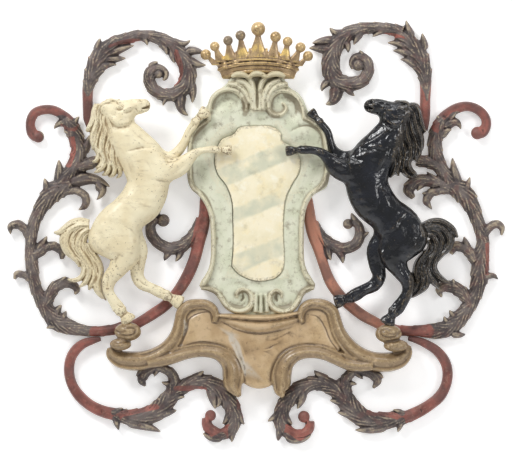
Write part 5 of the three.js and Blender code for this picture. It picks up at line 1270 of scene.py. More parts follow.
WHITE_HORSE = {
    "limbs": [
        [[-345, 205, 58, 27.5, 24], [-338.8, 172.5, 58, 40, 28], [-310, 132.5, 58, 50, 31],
         [-277.5, 87.5, 56, 56.5, 35], [-270, 45, 55, 52.5, 36], [-285, 0, 55, 53.8, 37],
         [-320, -35, 55, 48.8, 36], [-352.5, -72.5, 55, 55, 38], [-375, -95, 54, 44.5, 33]],
        [[-371.2, 226.2, 61, 22, 22], [-345, 216, 63, 31.5, 24], [-325, 221.5, 63, 26.5, 22],
         [-310, 229, 63, 21.5, 19], [-292.5, 232, 63, 19.5, 18], [-281.2, 233.5, 62, 17, 16]],
        [[-345, -100, 64, 51.2, 30], [-330, -132.5, 63, 36.2, 25], [-345, -170, 62, 23.5, 19],
         [-366.2, -198.8, 60, 18, 16], [-369.5, -225, 60, 13.5, 12], [-356.2, -250, 60, 13.5, 11],
         [-343, -269, 60, 15.5, 12], [-333, -281.5, 61, 11, 11]],
        [[-320, -90, 44, 35, 18], [-295, -127.5, 44, 23.5, 16], [-296.2, -160, 43, 18, 15],
         [-297.5, -190, 42, 16.5, 14], [-287.5, -207.5, 42, 15.5, 13], [-262.5, -220, 42, 13, 11.5],
         [-240, -231, 42, 14, 11.5], [-219, -242, 42, 10.5, 10.5]],
        [[-247.5, 75, 64, 32.5, 24], [-215, 75, 66, 27.5, 22], [-192.5, 82.5, 68, 23.5, 19],
         [-171.2, 100, 70, 16.5, 14], [-150, 117.5, 70, 10.5, 11.5], [-125, 124.5, 68, 7.5, 9.5],
         [-108, 125, 65, 9.5, 10], [-94, 124, 62, 7, 9]],
        [[-242.5, 100, 44, 22.5, 15], [-216.2, 106.5, 44, 14, 14], [-193.8, 123.8, 45, 12.5, 13],
         [-178.8, 147.5, 47, 10.5, 12], [-171, 167.5, 50, 9.5, 10], [-159, 184, 52, 10.8, 10],
         [-148, 198, 54, 8.2, 9.5]],
    ],
    "hooves": [
        [-330, -285.5, -316.2, -302.5, 61, 14.5, 19.5, 13],
        [-212, -245, -187.5, -258, 42, 13, 17.5, 13],
        [-88, 124, -62.5, 123.5, 61, 9, 12.8, 10.5],
        [-143, 204.5, -123.8, 223.8, 56, 10.5, 15.5, 11],
    ],
    "locks": [
        (78, [[-395, 237.5, 10.5], [-400, 220, 12.5], [-403.8, 202.5, 11.5], [-410, 187.5, 10],
              [-418.8, 176.2, 7.5], [-425, 170, 3]]),
        (80, [[-387.5, 237.5, 10], [-393.8, 217.5, 11.2], [-396.2, 195, 11.2], [-403.8, 172.5, 10.5],
              [-407.5, 152.5, 9.5], [-406.2, 132.5, 6.5], [-410, 125, 2]]),
        (76, [[-383.8, 230, 9], [-387.5, 205, 10], [-387.5, 180, 11], [-396.2, 155, 11],
              [-398.8, 132.5, 10], [-392.5, 112.5, 8.5], [-400, 97.5, 6], [-410, 95, 2]]),
        (81, [[-378.8, 217.5, 7.5], [-380, 195, 9.5], [-377.5, 172.5, 10.5], [-383.8, 147.5, 11],
              [-386.2, 122.5, 10.5], [-378.8, 102.5, 10], [-382.5, 82.5, 8.5], [-395, 72.5, 5.5],
              [-406.2, 67.5, 1.5]]),
        (77, [[-372.5, 195, 6.5], [-368.8, 172.5, 9], [-368.8, 150, 10], [-373.8, 127.5, 10.5],
              [-371.2, 105, 10], [-366.2, 85, 9.5], [-373.8, 67.5, 7], [-386.2, 61.2, 2]]),
        (80, [[-365, 162.5, 6], [-360, 140, 8.5], [-360, 117.5, 9.5], [-358.8, 95, 9.5], [-353.8, 75, 8],
              [-361.2, 60, 5], [-370, 57.5, 1.5]]),
        (75, [[-357.5, 135, 5.5], [-350, 112.5, 7.5], [-347.5, 92.5, 8.5], [-341.2, 75, 7.5],
              [-342.5, 60, 4.5], [-351.2, 53.8, 1.5]]),
        (73, [[-395, 155, 7.5], [-400, 135, 8.5], [-390, 117.5, 8], [-385, 97.5, 7.5], [-393.8, 82.5, 5],
              [-402.5, 80, 1.5]]),
        (82, [[-385, 235, 7.5], [-372.5, 241.5, 8], [-360, 242.5, 7], [-348.8, 237.5, 5],
              [-342.5, 231.2, 1.5]]),
        (81, [[-382.5, 227.5, 6.5], [-370, 232, 6.5], [-358.8, 231, 5], [-351.2, 226.2, 1.5]]),
        (80, [[-375, 245.5, 5], [-362.5, 247.5, 5.5], [-350, 246.5, 4], [-341.2, 251, 1.5]]),
        (56, [[-417.5, -57.5, 9], [-440, -53.8, 10.5], [-460, -58.8, 10.5], [-477.5, -71.2, 9.5],
              [-492.5, -81.2, 7.5], [-506.2, -81.2, 2.5]]),
        (60, [[-417.5, -62.5, 9], [-442.5, -62.5, 10], [-463.8, -75, 10], [-473.8, -95, 10],
              [-472.5, -117.5, 9.5], [-461.2, -137.5, 8.5], [-447.5, -152.5, 6.5], [-442.5, -167.5, 2.5]]),
        (56, [[-417.5, -67.5, 8.5], [-438.8, -71.2, 9.5], [-455, -87.5, 10], [-460, -110, 10],
              [-450, -132.5, 10], [-435, -152.5, 10], [-428.8, -172.5, 9.5], [-436.2, -191.2, 7.5],
              [-455, -200, 5.5], [-472.5, -197.5, 2]]),
        (61, [[-417.5, -72.5, 8], [-432.5, -80, 9], [-443.8, -97.5, 10], [-443.8, -120, 10],
              [-431.2, -141.2, 10], [-420, -162.5, 10], [-418.8, -185, 9.5], [-427.5, -205, 7.5],
              [-442.5, -217.5, 2.5]]),
        (57, [[-417.5, -80, 6.5], [-427.5, -90, 8.5], [-432.5, -107.5, 9.5], [-425, -127.5, 10],
              [-411.2, -147.5, 10], [-403.8, -170, 10], [-405, -192.5, 9.5], [-413.8, -212.5, 7.5],
              [-418.8, -225, 2.5]]),
        (60, [[-421.2, -107.5, 5.5], [-415, -123.8, 7.5], [-402.5, -141.2, 8.5], [-392.5, -161.2, 9],
              [-388.8, -183.8, 8.5], [-393.8, -205, 8.5], [-391.2, -225, 7.5], [-380, -243.8, 3.5],
              [-375, -251.2, 1.2]]),
        (54, [[-400, -170, 7.5], [-396.2, -192.5, 8], [-402.5, -215, 7.5], [-395, -232.5, 6],
              [-383.8, -247.5, 1.5]]),
        (53, [[-477.5, -80, 7.5], [-485, -97.5, 7.5], [-481.2, -117.5, 7], [-470, -136.2, 5.5],
              [-458.8, -146.2, 2]]),
    ],
    "ear": [-381.2, 218.8, -381.2, 230, -371.2, 238.8, 6.5],
    "eye": [-340, 229, 5],
    "mouth": [[-293.8, 226], [-282.5, 228.5], [-263.8, 233.5], [-262, 229], [-272.5, 226],
              [-283.8, 224.5]],
    "carving": [
        ("fold", 4, [[-370, 210, 7.5], [-361.2, 195, 8.5], [-347.5, 185, 8.5], [-330, 184, 8],
                     [-317.5, 189, 7.5], [-311.2, 200, 5]]),
        ("groove", 2.6, [[-352.5, 228.5, 4], [-345, 223.5, 5], [-336.2, 223, 4.5], [-330, 228, 3]]),
        ("ridge", 2.6, [[-353.8, 236.5, 4], [-342.5, 238.5, 5], [-331.2, 234.5, 3.5]]),
        ("groove", 1.6, [[-347.5, 233, 3], [-338.8, 234.5, 3], [-331.2, 230.5, 2.5]]),
        ("ridge", 1.8, [[-332.5, 221.5, 4.5], [-315, 226.5, 5], [-302.5, 235, 4]]),
        ("groove", 1.5, [[-332.5, 213, 6], [-317.5, 217.5, 6], [-305, 223.5, 5]]),
        ("groove", 4.2, [[-293, 247, 3.2], [-288.5, 247.8, 4], [-284.5, 245, 3]]),
        ("ridge", 1.8, [[-297.5, 244, 3.5], [-291.2, 240.5, 4], [-282.5, 240.5, 3.5]]),
        ("ridge", 1.4, [[-295, 221.5, 3], [-282.5, 220.5, 4], [-271.2, 223.5, 3.5]]),
        ("groove", 1.6, [[-302.5, 227.5, 3.5], [-297.5, 222.5, 3.5], [-296, 216, 3]]),
        ("ridge", 1.6, [[-360, 205, 7.5], [-347.5, 195.5, 8.5], [-332.5, 196, 7.5]]),
        ("groove", 1.2, [[-367.5, 216.2, 5], [-356.2, 210.5, 6], [-342.5, 211, 6]]),
        ("groove", 2.2, [[-315, 180, 5], [-297.5, 162.5, 7.5], [-275, 145, 7.5], [-252.5, 127.5, 6]]),
        ("ridge", 1.6, [[-332.5, 175, 10], [-310, 152.5, 12.5], [-280, 137.5, 10]]),
        ("groove", 2.4, [[-322.5, 120, 4.5], [-302.5, 125, 6], [-282.5, 130, 6], [-257.5, 129, 4.5]]),
        ("fold", 3, [[-221.2, 80, 6.2], [-227.5, 102.5, 7.5], [-238.8, 118.8, 6.5], [-252.5, 126.2, 5]]),
        ("groove", 3, [[-220, 95, 3.5], [-207.5, 97.5, 4.5], [-192.5, 103, 3]]),
        ("fold", 2.6, [[-267.5, 54, 5], [-247.5, 52, 6.5], [-225, 48, 7], [-205, 49, 6],
                       [-187.5, 58.5, 5]]),
        ("groove", 1.8, [[-325, 105, 7.5], [-316.2, 80, 8.5], [-310, 55, 7.5]]),
        ("ridge", 2, [[-305, 110, 12.5], [-290, 85, 15], [-267.5, 65, 12.5]]),
        ("groove", 1.4, [[-285, 105, 7.5], [-267.5, 85, 8.5], [-260, 62.5, 6.5]]),
        ("ridge", 1.2, [[-242.5, 85, 10], [-215, 80, 10], [-192.5, 90, 7.5]]),
        ("groove", 1.4, [[-212.5, 62.5, 6], [-190, 77.5, 6], [-172.5, 95, 4.5]]),
        ("ridge", 1.6, [[-167.5, 113.8, 5], [-155, 120, 5.5], [-145, 121.5, 4]]),
        ("groove", 1, [[-142.5, 124, 2.5], [-120, 127.5, 2.5], [-102.5, 128, 2.5]]),
        ("groove", 1, [[-290, 35, 5], [-265, 31.5, 6], [-240, 34, 4.5]]),
        ("groove", 1, [[-297.5, 18.8, 5], [-272.5, 13.5, 6], [-245, 14, 4.5]]),
        ("groove", 0.9, [[-310, 3.8, 5], [-282.5, -5, 6], [-255, -7.5, 4.5]]),
        ("groove", 0.8, [[-320, -10, 5], [-295, -21, 6], [-270, -27.5, 4.5]]),
        ("ridge", 1.4, [[-315, 45, 10], [-322.5, 15, 10], [-347.5, -17.5, 10], [-377.5, -47.5, 10]]),
        ("fold", 3.2, [[-372.5, -48.8, 7.5], [-350, -51.5, 10], [-327.5, -58.5, 10], [-312.5, -69, 8.5],
                       [-298.8, -85, 6.5]]),
        ("groove", 1.6, [[-360, -65, 10], [-342.5, -80, 11], [-325, -102.5, 10]]),
        ("ridge", 1.6, [[-322.5, -80, 10], [-308.8, -107.5, 11], [-317.5, -137.5, 10]]),
        ("groove", 1.6, [[-395, -75, 10], [-382.5, -102.5, 11], [-365, -125, 9]]),
        ("ridge", 1.4, [[-405, -85, 8.5], [-397.5, -107.5, 9], [-377.5, -125, 7.5]]),
        ("groove", 1.8, [[-340, -130, 6.5], [-350, -150, 6.5], [-356.2, -170, 5.5]]),
        ("groove", 1.6, [[-375.5, -195, 4], [-371, -210, 4.5], [-374, -225, 4]]),
        ("ridge", 1.6, [[-383.5, -196, 4.5], [-382.5, -210, 5]]),
        ("ridge", 2, [[-361.2, -272.5, 5.5], [-358.5, -284, 5]]),
        ("groove", 1.8, [[-350, -257.5, 3], [-338.8, -264, 3.5], [-328, -264, 3]]),
        ("groove", 1.6, [[-287.5, -135, 4], [-292.5, -160, 4.5], [-296, -180, 4]]),
        ("groove", 1.8, [[-294, -197.5, 4], [-282.5, -208.5, 4.5], [-265, -216.5, 3.5]]),
        ("ridge", 1.6, [[-305, -202.5, 4.5], [-297.5, -211.5, 4.5]]),
        ("groove", 1.2, [[-242.5, -227.5, 2.5], [-222.5, -236, 3], [-202.5, -245, 2.5]]),
        ("groove", 1.4, [[-175, 150, 2.5], [-167.5, 172.5, 3], [-152.5, 191.5, 2.5]]),
    ],
}

BLACK_HORSE = {
    "limbs": [
        [[350, 205, 58, 27.5, 24], [337.5, 172.5, 58, 39, 28], [315, 135, 58, 49, 31],
         [281.2, 90, 56, 55, 35], [272.5, 45, 55, 53.5, 36], [286.2, 2.5, 55, 53.5, 37],
         [320, -35, 55, 48, 36], [355, -70, 55, 54, 38], [380, -95, 54, 44, 33]],
        [[368.8, 220, 61, 21.5, 22], [341.2, 213.5, 63, 30, 24], [322.5, 221, 63, 25, 22],
         [308.8, 228.5, 63, 21, 19], [292.5, 231.5, 63, 20, 18], [281.2, 232.5, 62, 16.5, 16]],
        [[357.5, -105, 64, 48.5, 30], [341.2, -140, 63, 34, 25], [355, -175, 62, 21.5, 19],
         [373.8, -203.8, 60, 17.5, 16], [373.8, -227.5, 60, 14, 13], [361.2, -252.5, 60, 15, 12],
         [347.5, -271, 60, 16.5, 12], [336, -285, 61, 11.5, 11]],
        [[322.5, -95, 44, 32.5, 18], [298.8, -127.5, 43, 26.5, 16], [297.5, -160, 42, 20, 15],
         [303.8, -192.5, 42, 17, 14], [292.5, -211.2, 42, 16.5, 13], [266.2, -224, 42, 14.5, 12],
         [243, -237, 42, 16.5, 12], [225, -245, 42, 11.5, 11]],
        [[245, 75, 64, 32.5, 24], [216.2, 72.5, 66, 28.5, 22], [195, 82.5, 68, 23.5, 19],
         [177.5, 101, 70, 16, 14], [160, 116.5, 70, 12, 12], [135, 123.5, 68, 9.8, 10],
         [115, 124, 65, 11, 10], [102, 123, 62, 7.5, 9]],
        [[237.5, 100, 44, 22.5, 15], [210, 107.5, 44, 16, 14], [190, 125, 45, 11.5, 13],
         [182.5, 147.5, 47, 9, 12], [176.2, 168.8, 50, 9.5, 10], [162.5, 186.2, 53, 9.5, 10],
         [151, 200, 55, 7.8, 9.5]],
    ],
    "hooves": [
        [333, -289.5, 321.2, -308.8, 61, 14.5, 19.5, 13],
        [219, -247, 193.8, -255, 42, 13.5, 17, 13],
        [96, 123, 71.2, 120.5, 61, 10, 13, 10.5],
        [147, 204, 131.5, 221, 57, 9.5, 12.5, 10.5],
    ],
    "locks": [
        (80, [[381.2, 235, 9], [392.5, 232.5, 10], [400, 221.2, 9.5], [403.8, 205, 9], [408.8, 185, 8.5],
              [418.8, 167.5, 3]]),
        (82, [[380, 228.8, 9], [388.8, 215, 10], [393.8, 192.5, 10.5], [401.2, 170, 10.5],
              [407.5, 150, 9], [407.5, 130, 7.5], [403.8, 112.5, 3]]),
        (77, [[376.2, 217.5, 9], [380, 195, 10], [385, 172.5, 10.5], [392.5, 150, 10.5],
              [395, 127.5, 10], [392.5, 105, 8.5], [398.8, 92.5, 2.5]]),
        (81, [[370, 200, 8], [370, 177.5, 10], [373.8, 155, 10.5], [381.2, 132.5, 10.5],
              [381.2, 110, 10], [375, 90, 9], [381.2, 73.8, 8.5], [395, 61.5, 6.5], [401.2, 58.5, 2.5]]),
        (77, [[361.2, 182.5, 7.5], [360, 160, 9.5], [362.5, 137.5, 10], [368.8, 115, 10],
              [365, 92.5, 9.5], [363.8, 75, 8.5], [375, 61, 7], [391.2, 55, 2.5]]),
        (80, [[352.5, 155, 6.5], [352.5, 132.5, 9], [356.2, 110, 9.5], [353.8, 87.5, 9],
              [348.8, 70, 7.5], [352.5, 58.8, 3]]),
        (76, [[343.8, 125, 6], [343.8, 105, 8], [343.8, 85, 8], [338.8, 67.5, 6.5], [331.2, 55, 2.5]]),
        (74, [[390, 150, 7.5], [401.2, 132.5, 8], [402.5, 115, 7.5], [396.2, 100, 3.5]]),
        (82, [[380, 232.5, 7], [368.8, 241, 7.5], [356.2, 243, 6], [345, 244.5, 4], [338.8, 242, 1.5]]),
        (80, [[377.5, 222.5, 6], [366.2, 229, 6], [356.2, 231, 4.5], [348.8, 229.5, 1.5]]),
        (56, [[412.5, -65, 9], [432.5, -56.5, 10], [452.5, -54.5, 10.5], [472.5, -62.5, 10],
              [488.8, -76.2, 8.5], [500, -93.8, 3]]),
        (60, [[413.8, -71.2, 9], [436.2, -65, 10], [458.8, -69, 10], [473.8, -85, 10],
              [477.5, -105, 9.5], [468.8, -125, 8.5], [456.2, -141.2, 6.5], [448.8, -155, 2.5]]),
        (56, [[415, -77.5, 8.5], [435, -75, 9.5], [453.8, -85, 10], [461.2, -105, 10],
              [456.2, -127.5, 10], [443.8, -147.5, 10], [438.8, -167.5, 10], [447.5, -186.2, 9.5],
              [465, -200, 7], [478.8, -205, 2.5]]),
        (61, [[416.2, -85, 8], [433.8, -87.5, 9], [445, -103.8, 10], [443.8, -125, 10],
              [431.2, -145, 10], [425, -167.5, 10], [430, -190, 10], [443.8, -207.5, 9],
              [456.2, -222.5, 3]]),
        (57, [[426.2, -100, 6.5], [432.5, -116.2, 8.5], [423.8, -135, 9.5], [411.2, -155, 10],
              [408.8, -177.5, 10], [413.8, -200, 10], [408.8, -220, 8.5], [392.5, -236.5, 6],
              [380, -244, 2.5]]),
        (60, [[421.2, -125, 5.5], [410, -141.2, 8], [398.8, -160, 9], [395, -181.2, 9],
              [398.8, -202.5, 9], [391.2, -222.5, 8], [376.2, -240, 6], [371.2, -251.2, 2]]),
        (58, [[425, -152.5, 7.5], [418.8, -175, 9], [423.8, -197.5, 9], [418.8, -217.5, 7.5],
              [403.8, -234, 3]]),
        (54, [[386.2, -180, 5.5], [383.8, -200, 7.5], [385, -220, 7], [371.2, -237.5, 3]]),
        (53, [[480, -80, 7.5], [486.2, -97.5, 7], [481.2, -117.5, 6.5], [470, -135, 2.5]]),
    ],
    "ear": [378.8, 218.8, 378.8, 231.2, 368.8, 241.2, 7],
    "eye": [356.5, 218, 5],
    "mouth": [[296, 225], [286.2, 227.5], [265, 231.5], [263, 227], [275, 224.5], [286.2, 223.8]],
    "carving": [
        ("fold", 4.4, [[313.8, 210, 5], [318.8, 196.5, 7.5], [331.2, 185, 8.5], [347.5, 181.5, 8.5],
                       [361.2, 188.5, 7.5], [371.2, 201.2, 6]]),
        ("ridge", 2.4, [[316.5, 217.5, 3.5], [319, 205, 4.5], [328.8, 193, 4.5], [343.8, 188, 4.5],
                        [358.8, 194, 4]]),
        ("groove", 2.2, [[326, 216, 4], [329, 206, 5], [338.8, 198.5, 5], [356.2, 199.5, 4]]),
        ("ridge", 2, [[333.5, 214, 4], [339, 207.5, 4.5], [351.2, 206.5, 4], [362.5, 209.5, 3]]),
        ("groove", 2.6, [[347.5, 213, 3.5], [356, 212, 4], [365, 216, 3]]),
        ("ridge", 2.4, [[343.8, 221.5, 3], [352.5, 226, 4], [365, 224, 3.5]]),
        ("ridge", 2, [[306.5, 229, 3.5], [322.5, 223, 4.5], [340, 219, 3.5]]),
        ("groove", 1.8, [[307.5, 216.5, 5], [314, 223.5, 4.5], [320, 229.5, 3.5]]),
        ("groove", 1.6, [[302.5, 242.5, 3], [318.8, 236, 3.5], [337.5, 230, 3]]),
        ("groove", 4.4, [[276.5, 239.5, 2.8], [280.5, 242.5, 3.8], [285.5, 241.5, 3.2]]),
        ("ridge", 2.2, [[274, 236.5, 3], [282.5, 235, 4], [293.8, 238.5, 3.5]]),
        ("ridge", 2, [[274.5, 246.5, 2.5], [283.5, 248.5, 3.5], [292.5, 244, 3]]),
        ("ridge", 1.6, [[274, 219.5, 3], [285, 217, 4], [297.5, 218, 3.5]]),
        ("groove", 1.8, [[301, 228, 3], [303, 219.5, 4], [301, 211, 3.5]]),
        ("fold", 3.4, [[237.5, 118.8, 6.5], [260, 132, 7.5], [282.5, 141.5, 8], [305, 154.5, 8],
                       [327.5, 170.5, 6.5], [340, 177.5, 4]]),
        ("groove", 1.8, [[231.2, 120, 4.5], [252.5, 136, 5.5], [275, 147.5, 6], [297.5, 161, 5.5],
                         [315, 175, 4]]),
        ("groove", 2.6, [[260, 127, 4.5], [280, 125, 6], [300, 124, 6], [318.8, 118.5, 4.5]]),
        ("ridge", 1.6, [[272.5, 131.5, 5], [292.5, 132.5, 6], [312.5, 134, 5]]),
        ("groove", 1.6, [[333.8, 145, 5], [331.2, 127.5, 6], [323.8, 110, 5]]),
        ("fold", 3.4, [[235, 118.5, 5], [226.5, 103.5, 6.5], [226, 85, 7.5], [231.5, 66.2, 6]]),
        ("groove", 2.4, [[233.5, 108.5, 5], [247.5, 99, 6.5], [263.8, 97.5, 6]]),
        ("ridge", 2.4, [[241.2, 91, 6.5], [255, 85, 7.5], [271.2, 86.5, 6.5]]),
        ("groove", 2.2, [[272.5, 105, 5.5], [286.2, 94, 7], [301.2, 91, 6]]),
        ("ridge", 2.8, [[321, 116, 5], [311.2, 105, 6.5], [302.5, 90, 6]]),
        ("groove", 2, [[317.5, 95, 5.5], [308.5, 77.5, 7.5], [293.8, 61, 6.5]]),
        ("groove", 2.4, [[215, 99, 3.5], [204, 103.5, 4.5], [191.5, 106, 3]]),
        ("ridge", 1.6, [[232.5, 85, 6.5], [210, 88.5, 7.5], [190, 96.5, 6]]),
        ("groove", 1.8, [[225, 71, 5], [206.5, 71, 6], [189, 83, 5]]),
        ("groove", 1.6, [[233.8, 53.5, 5], [217.5, 50.5, 6], [200, 57.5, 5]]),
        ("ridge", 1.6, [[168.8, 115, 4.5], [157.5, 120, 5], [146.2, 122.5, 3.5]]),
        ("groove", 1.6, [[160, 112.5, 3], [151, 115, 3.5], [137.5, 117.5, 2.5]]),
        ("ridge", 1.8, [[105, 126.5, 4], [96.2, 126, 4.5]]),
        ("groove", 1.8, [[316.5, 45, 6], [300.5, 30, 7], [303.5, 10, 7], [312, -12.5, 6.5]]),
        ("ridge", 2.6, [[308.5, 38.5, 6], [310, 20, 7], [318.5, 0, 7.5], [326.5, -21, 6]]),
        ("groove", 1, [[237.5, 32.5, 5], [260, 31, 6], [282.5, 36.5, 4.5]]),
        ("groove", 1, [[242.5, 12.5, 5], [265, 11.5, 6], [287.5, 17.5, 4.5]]),
        ("groove", 1, [[250, -7.5, 5], [272.5, -7.5, 6], [295, -1.5, 4.5]]),
        ("groove", 0.9, [[262.5, -26.5, 5], [282.5, -25.5, 6], [305, -19, 4.5]]),
        ("fold", 3.8, [[311.2, -86.2, 6], [322.5, -79, 7.5], [339, -71.5, 8.5], [353.5, -54, 8.5],
                       [365, -41, 7.5], [377.5, -31, 5]]),
        ("ridge", 2.2, [[316.5, -89, 5], [333.5, -77.5, 6], [348.5, -65, 6]]),
        ("groove", 1.8, [[362.5, -57.5, 7.5], [373.5, -74, 8.5], [378.5, -95, 7.5]]),
        ("ridge", 2.4, [[376, -56.5, 6.5], [386.2, -73.5, 7.5], [393.8, -92.5, 7]]),
        ("groove", 1.8, [[391.5, -56, 6], [401.2, -75, 7], [407.5, -95, 6]]),
        ("groove", 2, [[324, -101, 6], [319.5, -120, 7], [327.5, -141.5, 6.5]]),
        ("ridge", 2.2, [[312, -100, 4.5], [307, -120, 5.5], [314, -142.5, 5.5], [325, -165, 4.5]]),
        ("groove", 1.6, [[368.8, -120, 7.5], [360, -140, 8], [362.5, -162.5, 6]]),
        ("groove", 1.8, [[349, -155, 5], [358.5, -175, 5.5], [370, -192.5, 4.5]]),
        ("groove", 1.6, [[376, -202.5, 4], [375, -217.5, 4.5], [368.5, -235, 4]]),
        ("ridge", 1.8, [[386, -201.5, 4], [385, -216, 4.5]]),
        ("ridge", 1.8, [[371.5, -240, 3.5], [361, -257.5, 4.5], [361.5, -280, 5]]),
        ("groove", 2, [[356, -261.5, 3], [349.5, -273.5, 3.5], [351, -287.5, 3]]),
        ("groove", 1.6, [[343.8, -261.5, 3.5], [332, -272.5, 4], [325, -286, 3.5]]),
        ("groove", 1.8, [[286.5, -130, 5], [291.5, -155, 5.5], [297.5, -180, 4.5]]),
        ("ridge", 2, [[296, -185, 4.5], [307, -200, 5], [313.5, -212.5, 4]]),
        ("groove", 1.8, [[289.5, -201.5, 4], [276.5, -215, 4.5], [258.5, -222.5, 3.5]]),
        ("ridge", 1.6, [[254, -224, 4], [238.5, -228.5, 5], [226, -235, 4]]),
        ("groove", 1.4, [[274, -227.5, 3], [256, -239, 3.5], [237.5, -250, 3]]),
    ],
}
HORSE_BACK = 26.1
# From this depth on, what stands proudest is pressed back
HORSE_FRONT = 88
LOCK_BACK = 30


def limb_body(stations, dome=0.0, step=4.0):
    """A round-sectioned limb through its stations. Its first end is a dome, its last one as much of a dome as asked."""
    flat = [[x, z, half, deep, depth] for x, z, depth, half, deep in stations]
    line, _ = smooth_line(flat, step)
    turns = np.linspace(0, 2 * math.pi, 25)[:-1]
    along, across = directions(line)
    parts = [(line[0], along[0], across[0], -math.sin(a), math.cos(a)) for a in (1.45, 1.15, 0.8, 0.4)]
    parts += [(line[i], along[i], across[i], 0.0, 1.0) for i in range(len(line))]
    if dome:
        parts += [(line[-1], along[-1], across[-1], math.sin(a) * dome, math.cos(a)) for a in (0.4, 0.8, 1.15, 1.45)]
    rings = np.empty((len(parts), len(turns), 3))
    for i, (station, forward, side, ahead, share) in enumerate(parts):
        x, z, half, deep, depth = station
        rings[i, :, 0] = x + forward[0] * half * ahead + side[0] * half * share * np.cos(turns)
        rings[i, :, 2] = z + forward[1] * half * ahead + side[1] * half * share * np.cos(turns)
        rings[i, :, 1] = -(depth + deep * share * np.sin(turns))
    return close_rings(rings)


def limb_distance(points, stations):
    """Distance from points to the skin of a limb, less than zero inside it."""
    nearest = np.full(len(points), 1e9)
    for start, end in zip(stations[:-1], stations[1:]):
        ax, az, ay, ar, ad = start
        bx, bz, by, br, bd = end
        run = np.array([bx - ax, bz - az], float)
        t = ((points[:, 0] - ax) * run[0] + (points[:, 2] - az) * run[1]) / (run @ run)
        t = np.clip(t, 0, 1)
        wide, deep = ar + (br - ar) * t, ad + (bd - ad) * t
        off_x = points[:, 0] - (ax + run[0] * t)
        off_z = points[:, 2] - (az + run[1] * t)
        off_y = (-points[:, 1] - (ay + (by - ay) * t)) * wide / deep
        nearest = np.minimum(nearest, np.sqrt(off_x ** 2 + off_z ** 2 + off_y ** 2) - wide)
    return nearest


def resampled(stations, step=9.0):
    line, _ = smooth_line([[x, z, depth, half, deep] for x, z, depth, half, deep in stations], step)
    return line.tolist()


def body_distance(points, limbs, blend):
    """Distance to all limbs, with soft joins between them."""
    total = limb_distance(points, limbs[0])
    for limb in limbs[1:]:
        other = limb_distance(points, limb)
        near = np.clip(blend - np.abs(total - other), 0, None) / blend
        total = np.minimum(total, other) - near ** 2 * blend * 0.25
    return total


def pull_to_skin(points, limbs, blend, rounds=6):
    """Moves points onto the skin of the softly joined limbs."""
    for _ in range(rounds):
        here = body_distance(points, limbs, blend)
        slope = np.empty_like(points)
        for axis in range(3):
            moved = points.copy()
            moved[:, axis] += 0.5
            slope[:, axis] = (body_distance(moved, limbs, blend) - here) / 0.5
        length = np.maximum((slope ** 2).sum(1), 0.2)
        points = points - slope * (here / length)[:, None] * 0.9
    return points


def build_horse(node, shape, sizes, material):
    bodies = [limb_body(stations, dome=1.0 if i < 2 else 0.0) for i, stations in enumerate(shape["limbs"])]
    body = merged_object(node + "_carving", bodies)
    fuse(body, 3.0, smooth=3)
    limbs = [resampled(stations) for stations in shape["limbs"]]
    set_points(body, pull_to_skin(points_of(body), limbs, sizes.horse_blend))
    cut_out(body, plate_body(shape["mouth"], 60, 100, 0.1))
    locks = [roll_body(lock, LOCK_BACK, front, strands=sizes.strands, strand_depth=sizes.strand_depth)
             for front, lock in shape["locks"]]
    hooves = [hoof_body(*hoof) for hoof in shape["hooves"]]
    extra = merged_object("hair", locks + hooves + [lobe_body(shape["ear"], 84, back=58, lift=2)])
    eye_x, eye_z, eye_radius = shape["eye"]
    join_into(body, [extra, ball_object(eye_x, 82, eye_z, eye_radius, eye_radius)])
    fuse(body, sizes.horse_grain, smooth=1)
    flatten_back(body, HORSE_BACK)
    hair = distance_to(points_of(body), [lock for _, lock in shape["locks"]])
    coronets = [("groove", 2.6, coronet(hoof)) for hoof in shape["hooves"]]
    muscles = [(kind, height * sizes.muscle_share, stroke) for kind, height, stroke in shape["carving"]]
    carve(body, muscles + coronets, keep=np.clip((hair - 1.0) * 4, 0, 1))
    points = points_of(body)
    points[:, 1] += 0.4 * np.clip(-points[:, 1] - HORSE_FRONT, 0, None)
    set_points(body, points)
    thin_out(body, sizes.horse_triangles)
    hair = distance_to(points_of(body), [lock for _, lock in shape["locks"]])
    set_mask(body, "hair", np.clip((1.3 - hair) * 3, 0, 1))
    feet = [[[x, z, top], [(x + end_x) / 2, (z + end_z) / 2, sole], [end_x, end_z, sole]]
            for x, z, end_x, end_z, _, top, sole, _ in shape["hooves"]]
    legs = [[[x, z, half] for x, z, _, half, _ in stations[2:]] for stations in shape["limbs"][2:]]
    near_leg = np.clip((1.4 - distance_to(points_of(body), legs)) * 3, 0, 0.45)
    near_foot = np.clip(1.9 - 0.6 * distance_to(points_of(body), feet), 0, 1)
    set_mask(body, "feet", np.maximum(near_leg, near_foot) * (1 - np.clip((1.3 - hair) * 3, 0, 1)))
    finish_piece(body, node, material)


def hoof_body(x, z, end_x, end_z, depth, top, sole, deep):
    """A hoof: a swollen pastern, a waist below it and a bell that widens to a blunt sole."""
    shares = ((-0.55, top * 1.12, deep), (-0.1, top * 0.8, deep * 0.74), (0.1, top * 0.92, deep * 0.84),
              (0.6, sole * 0.98, deep * 0.97), (0.92, sole * 1.02, deep))
    return limb_body([[x + (end_x - x) * t, z + (end_z - z) * t, depth, half, half_deep]
                      for t, half, half_deep in shares], dome=0.22, step=2.0)


def coronet(hoof):
    """A stroke across the top of a hoof."""
    x, z, end_x, end_z, _, top, _, _ = hoof
    run = math.hypot(end_x - x, end_z - z)
    side_x, side_z = (z - end_z) / run * top, (end_x - x) / run * top
    return [[x + side_x * share, z + side_z * share, 2.4] for share in (-1.3, 0.0, 1.3)]


